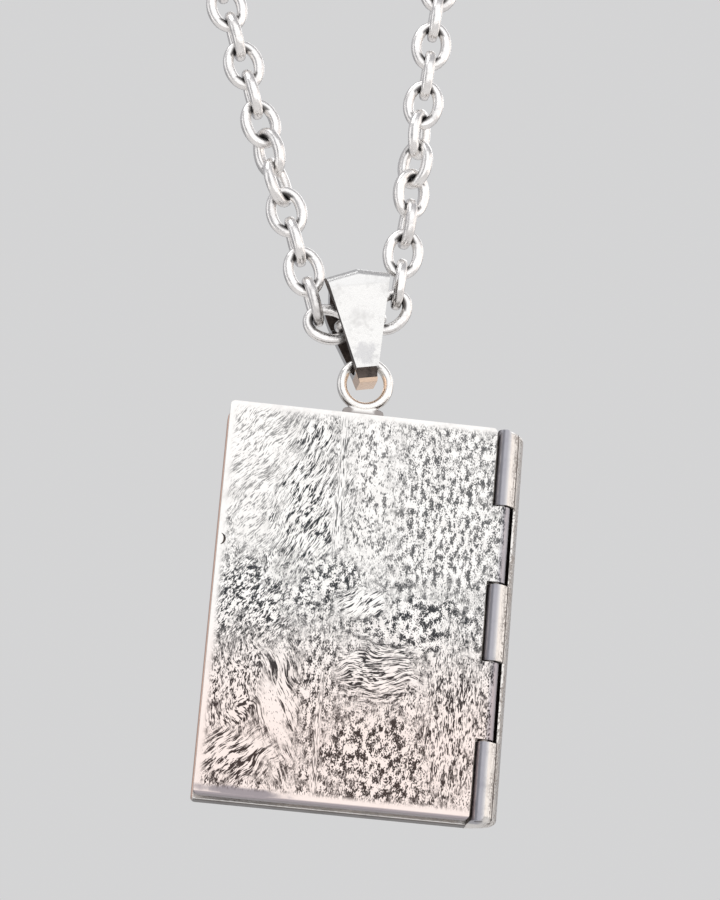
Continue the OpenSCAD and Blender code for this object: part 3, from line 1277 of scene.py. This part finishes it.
@dataclass
class FrontCover(Maker):
    """The front cover with its rolled hinge tabs and nail nick.

    The nick is a disc less another one beside it. Its dark faces lie between two depths below the
    cover's face and within a reach of its middle.
    """

    edge: float = 0.1
    foot_round: float = 0.32
    lap: float = 0.2
    tab_steps: int = 30
    nick_x: float = 0.14
    nick_z: float = 0.36
    nick_r: float = 0.4
    nick_deep: float = 0.22
    nick_w: float = 0.16
    nick_over: float = 0.1
    nick_l: float = 1.0
    dark_y: Pair = (0.03, 0.25)
    dark_reach: float = 0.55

    def tab(self, k: int) -> Object:
        """One rolled tab: a flat tongue that runs round the pin.

        Args:
            k: The knuckle's number, counted from the top.

        Returns:
            The tab.
        """
        x, y = BOOK.pin
        left, back = BOOK.edge_x - self.lap, BOOK.front_y + BOOK.front_t
        meet = math.degrees(math.asin((back - y) / BOOK.tab_r))
        pen = Pen(left, BOOK.front_y).to((x, BOOK.front_y)).arc(x, y, 270 - meet, self.tab_steps)
        pen.to((left, back), (left, BOOK.front_y))
        low, gap = BOOK.knuckle_low(k), BOOK.knuckle_gap / 2
        return pen.prism(low + gap, low + BOOK.knuckle_h - gap)

    @property
    def nick_at(self) -> Pair:
        """The middle of the nail nick's disc, sideways and in height."""
        return self.nick_x - BOOK.edge_x, BOOK.top - self.nick_z * BOOK.height

    def nick(self) -> Object:
        """The cutter for the crescent nail nick.

        Returns:
            The cutter.
        """
        x, z = self.nick_at
        disc = Bench.rod(self.nick_r, (x, BOOK.front_y, z), 2 * self.nick_deep, Axis.Y)
        beside = (x - self.nick_w - self.nick_over, BOOK.front_y, z)
        Bench.boolean(disc, Bench.rod(self.nick_r + self.nick_over, beside, self.nick_l, Axis.Y))
        return disc

    def build(self) -> None:
        """Builds and dresses the cover."""
        x, y, top, foot = BOOK.edge_x, BOOK.front_y, BOOK.top, BOOK.foot
        plate = Bench.box((-x, y, foot), (x, y + BOOK.front_t, top))
        Bench.bevel(plate, BOOK.corner_r, Bench.runs_deep)
        Bench.bevel(plate, self.foot_round,
                    lambda e: all(p.z < foot + NEAR and p.y < y + NEAR for p in e))
        for k in range(1, BOOK.knuckles, 2):
            Bench.boolean(plate, self.tab(k), Meet.ADD)
        Bench.boolean(plate, self.nick())
        self.bore(plate)
        Bench.soften(plate, self.edge)
        cover = Bench.place(plate, "cover", IN_BOOK)
        self.dress(cover, ScratchedAndShadedSilver().make(self.fx), Body.COVER, Slot.COVER, "front_cover")
        # The nick's inner faces take the dark oxide and painted shade.
        nick_x, nick_z = self.nick_at
        self.darken(cover, IN_BOOK, lambda c: self.dark_y[0] < c.y - y < self.dark_y[1]
                    and abs(c.z - nick_z) < self.nick_r and 0.0 < c.x - nick_x < self.dark_reach)


@dataclass
class Case(Maker):
    """The back cover, page block, spine with knuckles, and soldered ring."""

    edge: float = 0.12
    lap: float = 0.2
    page_gap: float = 0.1
    page_edge: float = 0.08
    recess_round: float = 0.5
    end_round: float = 0.4
    end_steps: int = 5
    end_from: float = 0.2
    end_edge: float = 0.5
    knuckle_steps: int = 16
    spine_steps: int = 40
    spine_edge: float = 0.05
    solder_voxel: float = 0.05
    solder_depth: float = 0.5
    solder_round: float = 0.35
    solder_steps: int = 3
    solder_smooth: int = 8
    solder_rise: float = 0.2
    dark_skin: float = 0.06
    dark_hinge: float = 0.04

    @property
    def inner_x(self) -> float:
        """Where the spine's inner wall stands."""
        return BOOK.edge_x + BOOK.hinge_gap

    def back(self) -> Object:
        """The back cover's plate.

        Returns:
            The placed piece.
        """
        x, y = BOOK.edge_x, BOOK.thick / 2
        plate = Bench.box((-x, y - BOOK.back_t, BOOK.foot), (self.inner_x + self.lap, y, BOOK.top))
        Bench.bevel(plate, BOOK.corner_r, lambda e: Bench.runs_deep(e) and e[0].x < 0)
        Bench.soften(plate, self.edge)
        return Bench.place(plate, "back_cover", IN_BOOK)

    def pages(self) -> Object:
        """The page block with its picture recess.

        Returns:
            The placed piece.
        """
        y, rim = BOOK.front_y + BOOK.front_t + self.page_gap, BOOK.rim_w
        left, (low, high) = BOOK.page_inset - BOOK.edge_x, BOOK.pages
        block = Bench.box((left, y, low),
                          (self.inner_x + self.lap, BOOK.thick / 2 - BOOK.back_t + self.lap, high))
        hollow = Bench.box((left + rim, y - 1, low + rim),
                           (BOOK.edge_x - rim, y + BOOK.recess_d, high - rim))
        Bench.bevel(hollow, self.recess_round, Bench.runs_deep)
        Bench.boolean(block, hollow)
        Bench.soften(block, self.page_edge)
        return Bench.place(block, "page_block", IN_BOOK)

    def spine(self) -> Object:
        """The rounded spine with its knuckles and the room for the cover's tabs.

        Returns:
            The placed piece.
        """
        (px, py), back = BOOK.pin, BOOK.thick / 2
        front = py - BOOK.knuckle_r
        middle_x, r = BOOK.spine_x - BOOK.spine_r, BOOK.spine_r
        start, end = math.degrees(math.asin(front / r)), math.degrees(math.asin(back / r))
        pen = Pen(self.inner_x, back).to((self.inner_x, py), (px - BOOK.knuckle_r, py))
        pen.arc(px, py, 90, self.knuckle_steps)
        pen.to((middle_x + r * math.cos(math.radians(start)), front))
        pen.arc(middle_x, 0, end - start, self.spine_steps).to((self.inner_x, back))
        body = pen.prism(BOOK.foot, BOOK.top)
        Bench.bevel(body, self.end_round, lambda e: abs(e[0].z - e[1].z) < TINY
                    and any(abs(e[0].z - z) < NEAR for z in (BOOK.top, BOOK.foot))
                    and min(p.x for p in e) > px + self.end_from
                    and max(p.y for p in e) < back + NEAR
                    and (e[0] - e[1]).length < self.end_edge, self.end_steps)
        for k in range(1, BOOK.knuckles, 2):
            low = BOOK.knuckle_low(k) - BOOK.knuckle_gap / 2
            high = low + BOOK.knuckle_h + BOOK.knuckle_gap
            middle = (px, py, (low + high) / 2)
            Bench.boolean(body, Bench.rod(BOOK.room_r, middle, high - low, sides=MORE_SIDES))
            Bench.boolean(body, Bench.box((BOOK.edge_x - 1, BOOK.front_y - 1, low),
                                          (BOOK.spine_x + 1, py + BOOK.lip_back, high)))
        self.bore(body)
        Bench.soften(body, self.spine_edge, 2)
        return Bench.place(body, "spine", IN_BOOK)

    def ring(self) -> Object:
        """The ring, soldered to its low base.

        Returns:
            The placed piece.
        """
        hoop = Bench.hoop((BOOK.ring_d - BOOK.ring_wire) / 2, BOOK.ring_wire, MOST_SIDES, FEW_SIDES)
        w, d = BOOK.base_w / 2, self.solder_depth / 2
        high = BOOK.top + BOOK.base_rise + self.solder_rise
        base = Bench.box((-w, -d, BOOK.pages[1] - self.lap), (w, d, high))
        Bench.bevel(base, self.solder_round,
                    lambda e: Bench.runs_deep(e) and e[0].z > high - NEAR, self.solder_steps)
        both = Bench.join([hoop, base])
        Bench.apply(both, "REMESH", mode="VOXEL", voxel_size=self.solder_voxel)
        Bench.apply(both, "SMOOTH", factor=0.5, iterations=self.solder_smooth)
        Bench.pick(both)
        bpy.ops.object.shade_smooth()
        return Bench.place(both, "ring", IN_BOOK)

    def build(self) -> None:
        """Builds and dresses the case."""
        spine, pages = self.spine(), self.pages()
        for piece, silver in ((self.back(), ReflectionAndShadeSilver()), (pages, SATIN),
                              (spine, WornAndShadedSilver()), (self.ring(), SolderedSilver())):
            self.dress(piece, silver.make(self.fx), Body.BOOK, Slot.CASE, "back_case")
        # The page block's sides and ends, between the covers, take the dark oxide and painted
        # shade.
        (low, high), skin = BOOK.pages, self.dark_skin
        self.darken(pages, IN_BOOK, lambda c: c.x < BOOK.page_inset - BOOK.edge_x + skin
                    or not low + skin < c.z < high - skin)
        # The spine's inner wall and the room round the tabs take the dark oxide and painted shade.
        px, py = BOOK.pin
        self.darken(spine, IN_BOOK, lambda c: c.x < self.inner_x + self.dark_hinge
                    or abs(math.hypot(c.x - px, c.y - py) - BOOK.room_r) < skin)
        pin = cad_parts["hinge_pin"]
        pin.data.materials.clear()
        pin.data.materials.append(PIN.make(self.fx))


@dataclass
class Bail(Maker):
    """The tapered bail that runs on the chain and holds the ring.

    Two leaves run from the ridge over the eye and the brow at the front down to the neck, and the
    foot below it has a notch at the front. The last five sizes say which faces are dark.
    """

    eye_r: float = 2.0
    eye_wall: float = 0.75
    ridge_drop: float = 0.2
    brow_r: float = 0.7
    brow_top: float = 2.55
    brow_drop: float = 0.5
    brow_out: float = 2.8
    foot_r: float = 0.84
    top_w: float = 4.9
    strap_w: float = 3.1
    strap_z: float = 1.2
    leaf_back: float = 1.75
    neck_w: float = 1.55
    neck_front: float = 1.5
    neck_back: float = 1.3
    neck_drop: float = 0.75
    foot_w: float = 1.2
    foot_y: float = 1.0
    foot_drop: float = 1.7
    deep: float = 4.0
    flatter: float = 0.3
    lip: float = 0.28
    notch_y: float = 0.92
    turn: float = 2.0
    lean: float = 3.3
    over: float = 0.1
    brow_l: float = 0.02
    neck_h: float = 0.3
    notch_reach: Pair = (1.0, 2.0)
    edge: float = 0.09
    edge_angle: float = 20.0
    eye_low: float = -0.4
    dark_skin: float = 0.06
    dark_notch: float = 0.05
    dark_side: float = 0.1
    slack: float = 0.01

    @property
    def top(self) -> float:
        """A height just over the bail's top."""
        return self.eye_r + self.eye_wall + self.over

    @property
    def neck(self) -> float:
        """Height at which the leaves end."""
        return -BOOK.bail_reach - self.neck_drop

    @property
    def foot(self) -> float:
        """Height of the lower end."""
        return -BOOK.bail_reach - self.foot_drop

    @staticmethod
    def hull(objs: Sequence[Object]) -> Object:
        """The convex hull round several shapes.

        Args:
            objs: The shapes, which are joined.

        Returns:
            The hull.
        """
        both = Bench.join(objs)
        Bench.choose(both, Part.VERTS, lambda v: True)
        bpy.ops.mesh.convex_hull(join_triangles=True)
        bpy.ops.object.mode_set(mode="OBJECT")
        return both

    @staticmethod
    def upright(pen: Pen, front: float, back: float) -> Object:
        """A prism whose outline is seen from the front, from one depth to another.

        Args:
            pen: The outline.
            front: The depth at which it starts.
            back: The depth at which it ends.

        Returns:
            The prism.
        """
        prism = pen.prism(-back, -front)
        prism.rotation_euler = Axis.Y.value
        Bench.pick(prism)
        return Bench.fix()

    def block(self, front: float, back: float, low: float, height: float) -> Object:
        """A block across the whole bail."""
        half = self.top_w / 2
        return Bench.box((-half, -front, low), (half, back, low + height))

    def upper(self) -> Object:
        """The body from its brow and the ridge over the eye down to the neck.

        Returns:
            The body.
        """
        half = self.top_w / 2
        ridge = self.eye_r + self.eye_wall - self.flatter / 2
        shapes = []
        for sense in (-1, 1):
            Bench.clear()
            bpy.ops.mesh.primitive_cone_add(
                vertices=MOST_SIDES, radius1=ridge, radius2=ridge - self.ridge_drop, depth=half,
                location=(sense * half / 2, self.flatter, 0), rotation=(0, sense * math.pi / 2, 0))
            shapes.append(Bench.fix())
        for sense in (-1, 0, 1):
            at = (sense * half, self.brow_r - self.brow_out,
                  self.brow_top - self.brow_r - abs(sense) * self.brow_drop)
            shapes.append(Bench.rod(self.brow_r, at, self.brow_l, Axis.X))
        shapes.append(self.block(self.neck_front, self.neck_back, self.neck, self.neck_h))
        return self.hull(shapes)

    def lower(self) -> Object:
        """The foot below the neck, which slopes in."""
        return self.hull([self.block(self.neck_front, self.neck_back, self.neck, self.over),
                          self.block(self.foot_y, self.foot_y, self.foot, self.over)])

    def outline(self) -> Object:
        """The tapered outline seen from the front, as a deep prism.

        Returns:
            The prism.
        """
        half, neck, foot = self.top_w / 2, self.neck_w / 2, self.foot_w / 2
        low = self.foot - self.over
        pen = Pen(-half, self.top).to((-neck, self.neck), (-foot, low), (foot, low),
                                      (neck, self.neck), (half, self.top), (-half, self.top))
        return self.upright(pen, -self.deep, self.deep)

    def strap_side(self, sense: int) -> Object:
        """The cutter beside the strap, behind the front leaf.

        Args:
            sense: -1 for the left side, 1 for the right side.

        Returns:
            The cutter.
        """
        inner, half, low = sense * self.strap_w / 2, sense * self.top_w / 2, self.strap_z - 1
        outer = half + sense
        pen = Pen(inner, self.top).to((inner, self.strap_z), (half, low), (outer, low),
                                      (outer, self.top), (inner, self.top))
        return self.upright(pen, -self.leaf_back, self.deep)

    def hollow(self) -> Object:
        """The eye and the narrowing room below it, as a cutter.

        Returns:
            The cutter.
        """
        width = self.top_w + 2
        foot = (0, 0, -BOOK.bail_reach)
        return self.hull([Bench.rod(self.eye_r, (0, 0, 0), width, Axis.X, MOST_SIDES),
                          Bench.rod(self.foot_r, foot, width, Axis.X, MORE_SIDES)])

    def in_hollow(self, at: Vector) -> bool:
        """Whether a place lies on the wall of the eye, of the room below it or of the notch.

        Args:
            at: The place, in bench millimetres.

        Returns:
            True where it does.
        """
        if abs(at.y + self.notch_y) < self.dark_notch and at.z < self.neck + self.slack:
            return True
        if at.z > self.eye_low:
            return abs(math.hypot(at.y, at.z) - self.eye_r) < self.dark_skin
        half = self.foot_r + (self.eye_r - self.foot_r) * (at.z + BOOK.bail_reach) / BOOK.bail_reach
        return (at.z > -BOOK.bail_reach - self.foot_r - 2 * self.slack
                and abs(at.y) < half + self.dark_side)

    def build(self) -> None:
        """Builds and dresses the bail."""
        bail = self.upper()
        Bench.boolean(bail, self.lower(), Meet.ADD)
        Bench.boolean(bail, self.outline(), Meet.TRIM)
        for sense in (-1, 1):
            Bench.boolean(bail, self.strap_side(sense))
        Bench.boolean(bail, self.hollow())
        side, front = self.notch_reach
        notch = Bench.box((-side, -front, self.foot + self.lip), (side, -self.notch_y, self.neck))
        Bench.boolean(bail, notch)
        Bench.soften(bail, self.edge, angle=self.edge_angle)
        where = (Matrix.Translation((0, 0, (CHAIN.eye_z - BOOK.bail_reach) * MM))
                 @ Matrix.Rotation(math.radians(self.turn), 4, "Z")
                 @ Matrix.Rotation(math.radians(-self.lean), 4, "Y")
                 @ Matrix.Translation((0, 0, BOOK.bail_reach * MM)))
        Bench.place(bail, "bail_strap", where)
        self.dress(bail, BailSilver().make(self.fx), Body.BAIL, Slot.BAIL, "bail")
        # The eye, the room below it and the notch take the dark oxide and painted shade.
        self.darken(bail, where, self.in_hollow)


@dataclass
class Chain(Maker):
    """The loop of interlocked links and its barrel clasp.

    The detail of a link is its steps and the sides of its wire.
    """

    near_links: int = 13
    near_detail: Tuple[int, int] = (48, 16)
    far_detail: Tuple[int, int] = (12, 6)
    squareness: float = 1.25
    contact_shade_inner: float = 0.93
    contact_shade_end: float = 0.55
    clasp_r: float = 1.3
    clasp_over: float = 0.3
    clasp_round: float = 0.35
    groove_at: float = 0.22
    groove_w: float = 0.16
    groove_deep: float = 0.1
    core_l: float = 1.0

    def link(self, round_steps: int, wire_sides: int) -> Object:
        """One link in the XY plane, its length along X, with painted shade at its inner ends.

        Args:
            round_steps: Steps round the link.
            wire_sides: Sides of the wire.

        Returns:
            The link, round the origin.
        """
        Bench.clear()
        bpy.ops.curve.primitive_bezier_circle_add(radius=CHAIN.end_wire / 2)
        section = bpy.context.object
        section.data.resolution_u = max(2, wire_sides // 4)
        for point in section.data.splines[0].bezier_points:
            point.handle_left_type = point.handle_right_type = "FREE"
            point.handle_left = point.co + (point.handle_left - point.co) * self.squareness
            point.handle_right = point.co + (point.handle_right - point.co) * self.squareness
        reach_x, reach_y = (CHAIN.link_l - CHAIN.end_wire) / 2, (CHAIN.link_w - CHAIN.side_wire) / 2
        Bench.clear()
        bpy.ops.curve.primitive_bezier_circle_add(radius=1.0)
        link = bpy.context.object
        bpy.ops.transform.resize(value=(reach_x, reach_y, 1))
        Bench.fix()
        link.data.resolution_u = round_steps // 4
        for point in link.data.splines[0].bezier_points:
            point.radius = 1.0 if abs(point.co.x) > 0.1 else CHAIN.side_wire / CHAIN.end_wire
        link.data.bevel_mode = "OBJECT"
        link.data.bevel_object = section
        Bench.pick(link)
        bpy.ops.object.convert(target="MESH")
        bpy.data.objects.remove(section)
        Bench.tidy(link)
        # Painted shade at the inner ends of the link, where links meet.
        contact_shade = link.data.attributes.new("contact_shade", "FLOAT", "POINT")
        for v, value in zip(link.data.vertices, contact_shade.data):
            inner = math.hypot(v.co.x / reach_x, v.co.y / reach_y) < self.contact_shade_inner
            value.value = 1.0 if inner and abs(v.co.x) > self.contact_shade_end * reach_x else 0.0
        Bench.pick(link)
        bpy.ops.object.shade_smooth()
        return link

    @staticmethod
    def stand(i: int, side: int, middles: Sequence[Vector]) -> Matrix:
        """Where a link of one half stands, in millimetres.

        Args:
            i: Number of the link, where 0 is the lowest one.
            side: 0 for the right half, 1 for the left half.
            middles: Middles of links 1 to the last.

        Returns:
            The link's frame.
        """
        at, heading, twist = Vector((0, 0, 0)), CHAIN.low_tilt, 0.0
        if i:
            at = Vector((middles[i - 1].x, 0, middles[i - 1].y))
            heading, twist = CHAIN.heading(i, side), CHAIN.twist(i, side)
        return (Matrix.Translation((0, 0, CHAIN.low_z)) @ Matrix.Rotation(math.pi * side, 4, "Z")
                @ Matrix.Translation(at) @ Matrix.Rotation(math.radians(-heading), 4, "Y")
                @ Matrix.Rotation(math.radians(twist), 4, "X"))

    def row(self, first: int, last: int, sides: Sequence[int], detail: Tuple[int, int],
            name: str) -> Object:
        """Copies one link along the path.

        Args:
            first: First link, where 0 is the lowest one, which belongs to the right half.
            last: Last link.
            sides: Halves of the loop to fill.
            detail: Steps round the link and sides of its wire.
            name: The piece's name.

        Returns:
            The placed row as one piece.
        """
        pattern = self.link(*detail)
        links = []
        for side in sides:
            middles = CHAIN.path(side)[1]
            for i in range(max(first, side), last + 1):
                copy = bpy.data.objects.new(f"link_{side}_{i}", pattern.data.copy())
                bpy.context.scene.collection.objects.link(copy)
                copy.matrix_world = self.stand(i, side, middles)
                links.append(copy)
        bpy.data.objects.remove(pattern)
        Bench.pick(*links)
        Bench.fix()
        return Bench.place(Bench.join(links), name)

    def clasp(self) -> Object:
        """The barrel at the back of the neck with an eye at each end.

        Returns:
            The placed piece.
        """
        right, left = CHAIN.ends
        ring = (CHAIN.link_w - CHAIN.wire) / 2
        ring_x = math.hypot(right.x + left.x, right.y - left.y) / 2 - ring
        length = 2 * (ring_x - ring) + self.clasp_over
        barrel = Bench.rod(self.clasp_r, (0, 0, 0), length, Axis.X, MORE_SIDES)
        Bench.soften(barrel, self.clasp_round, 4)
        for sense in (-1, 1):
            at = (sense * self.groove_at * length, 0, 0)
            outer, inner = self.clasp_r + self.clasp_over, self.clasp_r - self.groove_deep
            groove = Bench.rod(outer, at, self.groove_w, Axis.X, MORE_SIDES)
            core = Bench.rod(inner, at, self.core_l, Axis.X, MORE_SIDES)
            Bench.boolean(groove, core)
            Bench.boolean(barrel, groove)
        for sense in (-1, 1):
            eye = Bench.hoop(ring, CHAIN.wire, *self.near_detail, sense * ring_x)
            Bench.boolean(barrel, eye, Meet.ADD)
        Bench.tidy(barrel)
        Bench.pick(barrel)
        bpy.ops.object.shade_smooth_by_angle(angle=SMOOTH_ANGLE)
        tilt = math.atan2(right.y - left.y, right.x + left.x)
        where = (Matrix.Translation(((right.x - left.x) / 2 * MM, 0, CHAIN.top_z * MM))
                 @ Matrix.Rotation(-tilt, 4, "Y"))
        return Bench.place(barrel, "barrel_clasp", where)

    def build(self) -> None:
        """Builds and dresses the chain and clasp."""
        finish = LINKS.make(self.fx)
        near = self.row(0, self.near_links, (0, 1), self.near_detail, "chain_near")
        self.dress(near, finish, Body.CHAIN, Slot.CHAIN, "chain_left", "chain_right")
        for side, name in ((0, "chain_far_right"), (1, "chain_far_left")):
            far = self.row(self.near_links + 1, CHAIN.side_links, (side,), self.far_detail, name)
            self.dress(far, finish, Body.CHAIN, Slot.CHAIN)
        self.dress(self.clasp(), BARREL.make(self.fx), Body.CHAIN, Slot.CLASP, "clasp")


@dataclass(frozen=True)
class Lamp:
    """A soft oblong light: its middle, width and height in metres, its watts, aim and tint."""

    name: str
    at: Point
    size: Pair
    power: float
    aim: Point = (0, 0, -0.22)
    tint: Point = (1, 1, 1)

    def hang(self) -> None:
        """Hangs the light, out of the camera's sight."""
        data = bpy.data.lights.new(self.name, "AREA")
        data.shape, data.size, data.size_y = "RECTANGLE", *self.size
        data.energy, data.color = self.power, self.tint
        lamp = bpy.data.objects.new(self.name, data)
        bpy.context.scene.collection.objects.link(lamp)
        turn = (Vector(self.aim) - Vector(self.at)).to_track_quat("-Z", "Y")
        lamp.matrix_world = Matrix.Translation(self.at) @ turn.to_matrix().to_4x4()
        lamp.visible_camera = False


@dataclass
class Studio:
    """Camera at the photo's angle, pale floor and soft light.

    The camera's values are in millimetres, degrees and pixels, the floor's in metres. What the
    metal mirrors grows lighter between two heights.
    """

    azimuth: float = -6.86
    elevation: float = -13.93
    roll: float = -4.31
    target: Point = (-0.70, 0.0, -224.21)
    distance: float = 208.3
    focal: float = 3020.0
    sensor: float = 36.0
    picture_h: int = 900
    clip: Pair = (0.01, 20.0)
    seen: Colour = (0.66, 0.66, 0.665, 1)
    mirrored: Tuple[Colour, Colour] = ((0.18, 0.18, 0.19, 1), (0.48, 0.48, 0.50, 1))
    mirrored_z: Pair = (-0.5, 0.6)
    floor_z: float = -0.75
    floor_r: float = 4.0
    floor_tone: Colour = (0.66, 0.65, 0.64, 1)
    floor_glow: float = 0.5
    floor_rough: float = 0.9
    floor_sides: int = 128
    lamps: Tuple[Lamp, ...] = (
        Lamp("panel", (0.13, -0.34, -0.08), (0.60, 0.55), 0.82, (0.13, 0, -0.08)),
        Lamp("right", (0.42, -0.01, -0.17), (0.50, 0.36), 0.46, tint=(1.0, 0.93, 0.88)),
        Lamp("warm", (0.34, -0.20, -0.22), (0.14, 0.12), 0.06, (0, 0, -0.235), (1.0, 0.80, 0.68)),
        Lamp("left", (-0.40, -0.10, -0.15), (0.22, 0.40), 0.20),
        Lamp("top", (-0.25, -0.15, 0.45), (0.4, 0.4), 1.0),
        Lamp("rim", (0.35, 0.60, 0.20), (0.5, 0.5), 1.0),
    )

    def camera(self) -> None:
        """Sets the camera as the photo was taken."""
        az, el, roll = (math.radians(a) for a in (self.azimuth, self.elevation, self.roll))
        back = Vector((math.sin(az) * math.cos(el), -math.cos(az) * math.cos(el), math.sin(el)))
        right = (-back).cross(Vector((0, 0, 1))).normalized()
        up = right.cross(-back)
        data = bpy.data.cameras.new("camera")
        data.sensor_fit = "VERTICAL"
        data.sensor_height = data.sensor_width = self.sensor
        data.lens = self.sensor * self.focal / self.picture_h
        data.clip_start, data.clip_end = self.clip
        camera = bpy.data.objects.new("camera", data)
        bpy.context.scene.collection.objects.link(camera)
        turn = Matrix((math.cos(roll) * right + math.sin(roll) * up,
                       math.cos(roll) * up - math.sin(roll) * right, back)).transposed().to_4x4()
        place = (Vector(self.target) + back * self.distance) * MM
        camera.matrix_world = Matrix.Translation(place) @ turn
        bpy.context.scene.camera = camera

    def world(self) -> None:
        """Pale surroundings for the eye, darker ones for what the metal mirrors."""
        world = bpy.data.worlds.new("studio")
        bpy.context.scene.world = world
        world.use_nodes = True
        g = Graph(world.node_tree)
        g.tree.nodes.clear()
        ray = g.node("ShaderNodeLightPath").outputs["Is Camera Ray"]
        seen = g.node("ShaderNodeBackground", {"Color": self.seen, "Strength": 1.0})
        upward = g.axes(g.node("ShaderNodeTexCoord").outputs["Generated"])[2]
        tone = g.blend(g.ramp(upward, *self.mirrored_z), *self.mirrored)
        mirrored = g.node("ShaderNodeBackground", {"Color": tone, "Strength": 1.0})
        mix = g.node("ShaderNodeMixShader", {0: ray, 1: mirrored.outputs[0], 2: seen.outputs[0]})
        g.node("ShaderNodeOutputWorld", {"Surface": mix.outputs[0]})

    def floor(self) -> None:
        """A plain pale floor below the necklace."""
        Bench.clear()
        bpy.ops.mesh.primitive_circle_add(
            vertices=self.floor_sides, radius=self.floor_r, fill_type="NGON",
            location=(0, 0, self.floor_z))
        floor = bpy.context.object
        floor.name = "floor"
        material = bpy.data.materials.new("floor")
        material.use_nodes = True
        inputs = material.node_tree.nodes["Principled BSDF"].inputs
        for name in ("Base Color", "Emission Color"):
            inputs[name].default_value = self.floor_tone
        inputs["Emission Strength"].default_value = self.floor_glow
        inputs["Roughness"].default_value = self.floor_rough
        floor.data.materials.append(material)

    def build(self) -> None:
        """Sets up the whole studio."""
        self.camera()
        self.world()
        self.floor()
        for lamp in self.lamps:
            lamp.hang()
        bpy.context.scene.view_settings.view_transform = "Standard"


def boxes() -> None:
    """Brings the scene's placements up to date."""
    bpy.context.view_layer.update()


def main() -> None:
    """Builds every sub-assembly in order."""
    logging.basicConfig(level=logging.INFO, format="%(name)s %(message)s")
    fx = Effects()
    for maker in (FrontCover, Case, Bail, Chain):
        maker(fx).build()
    Studio().build()
    boxes()


if __name__ == "__main__":
    main()
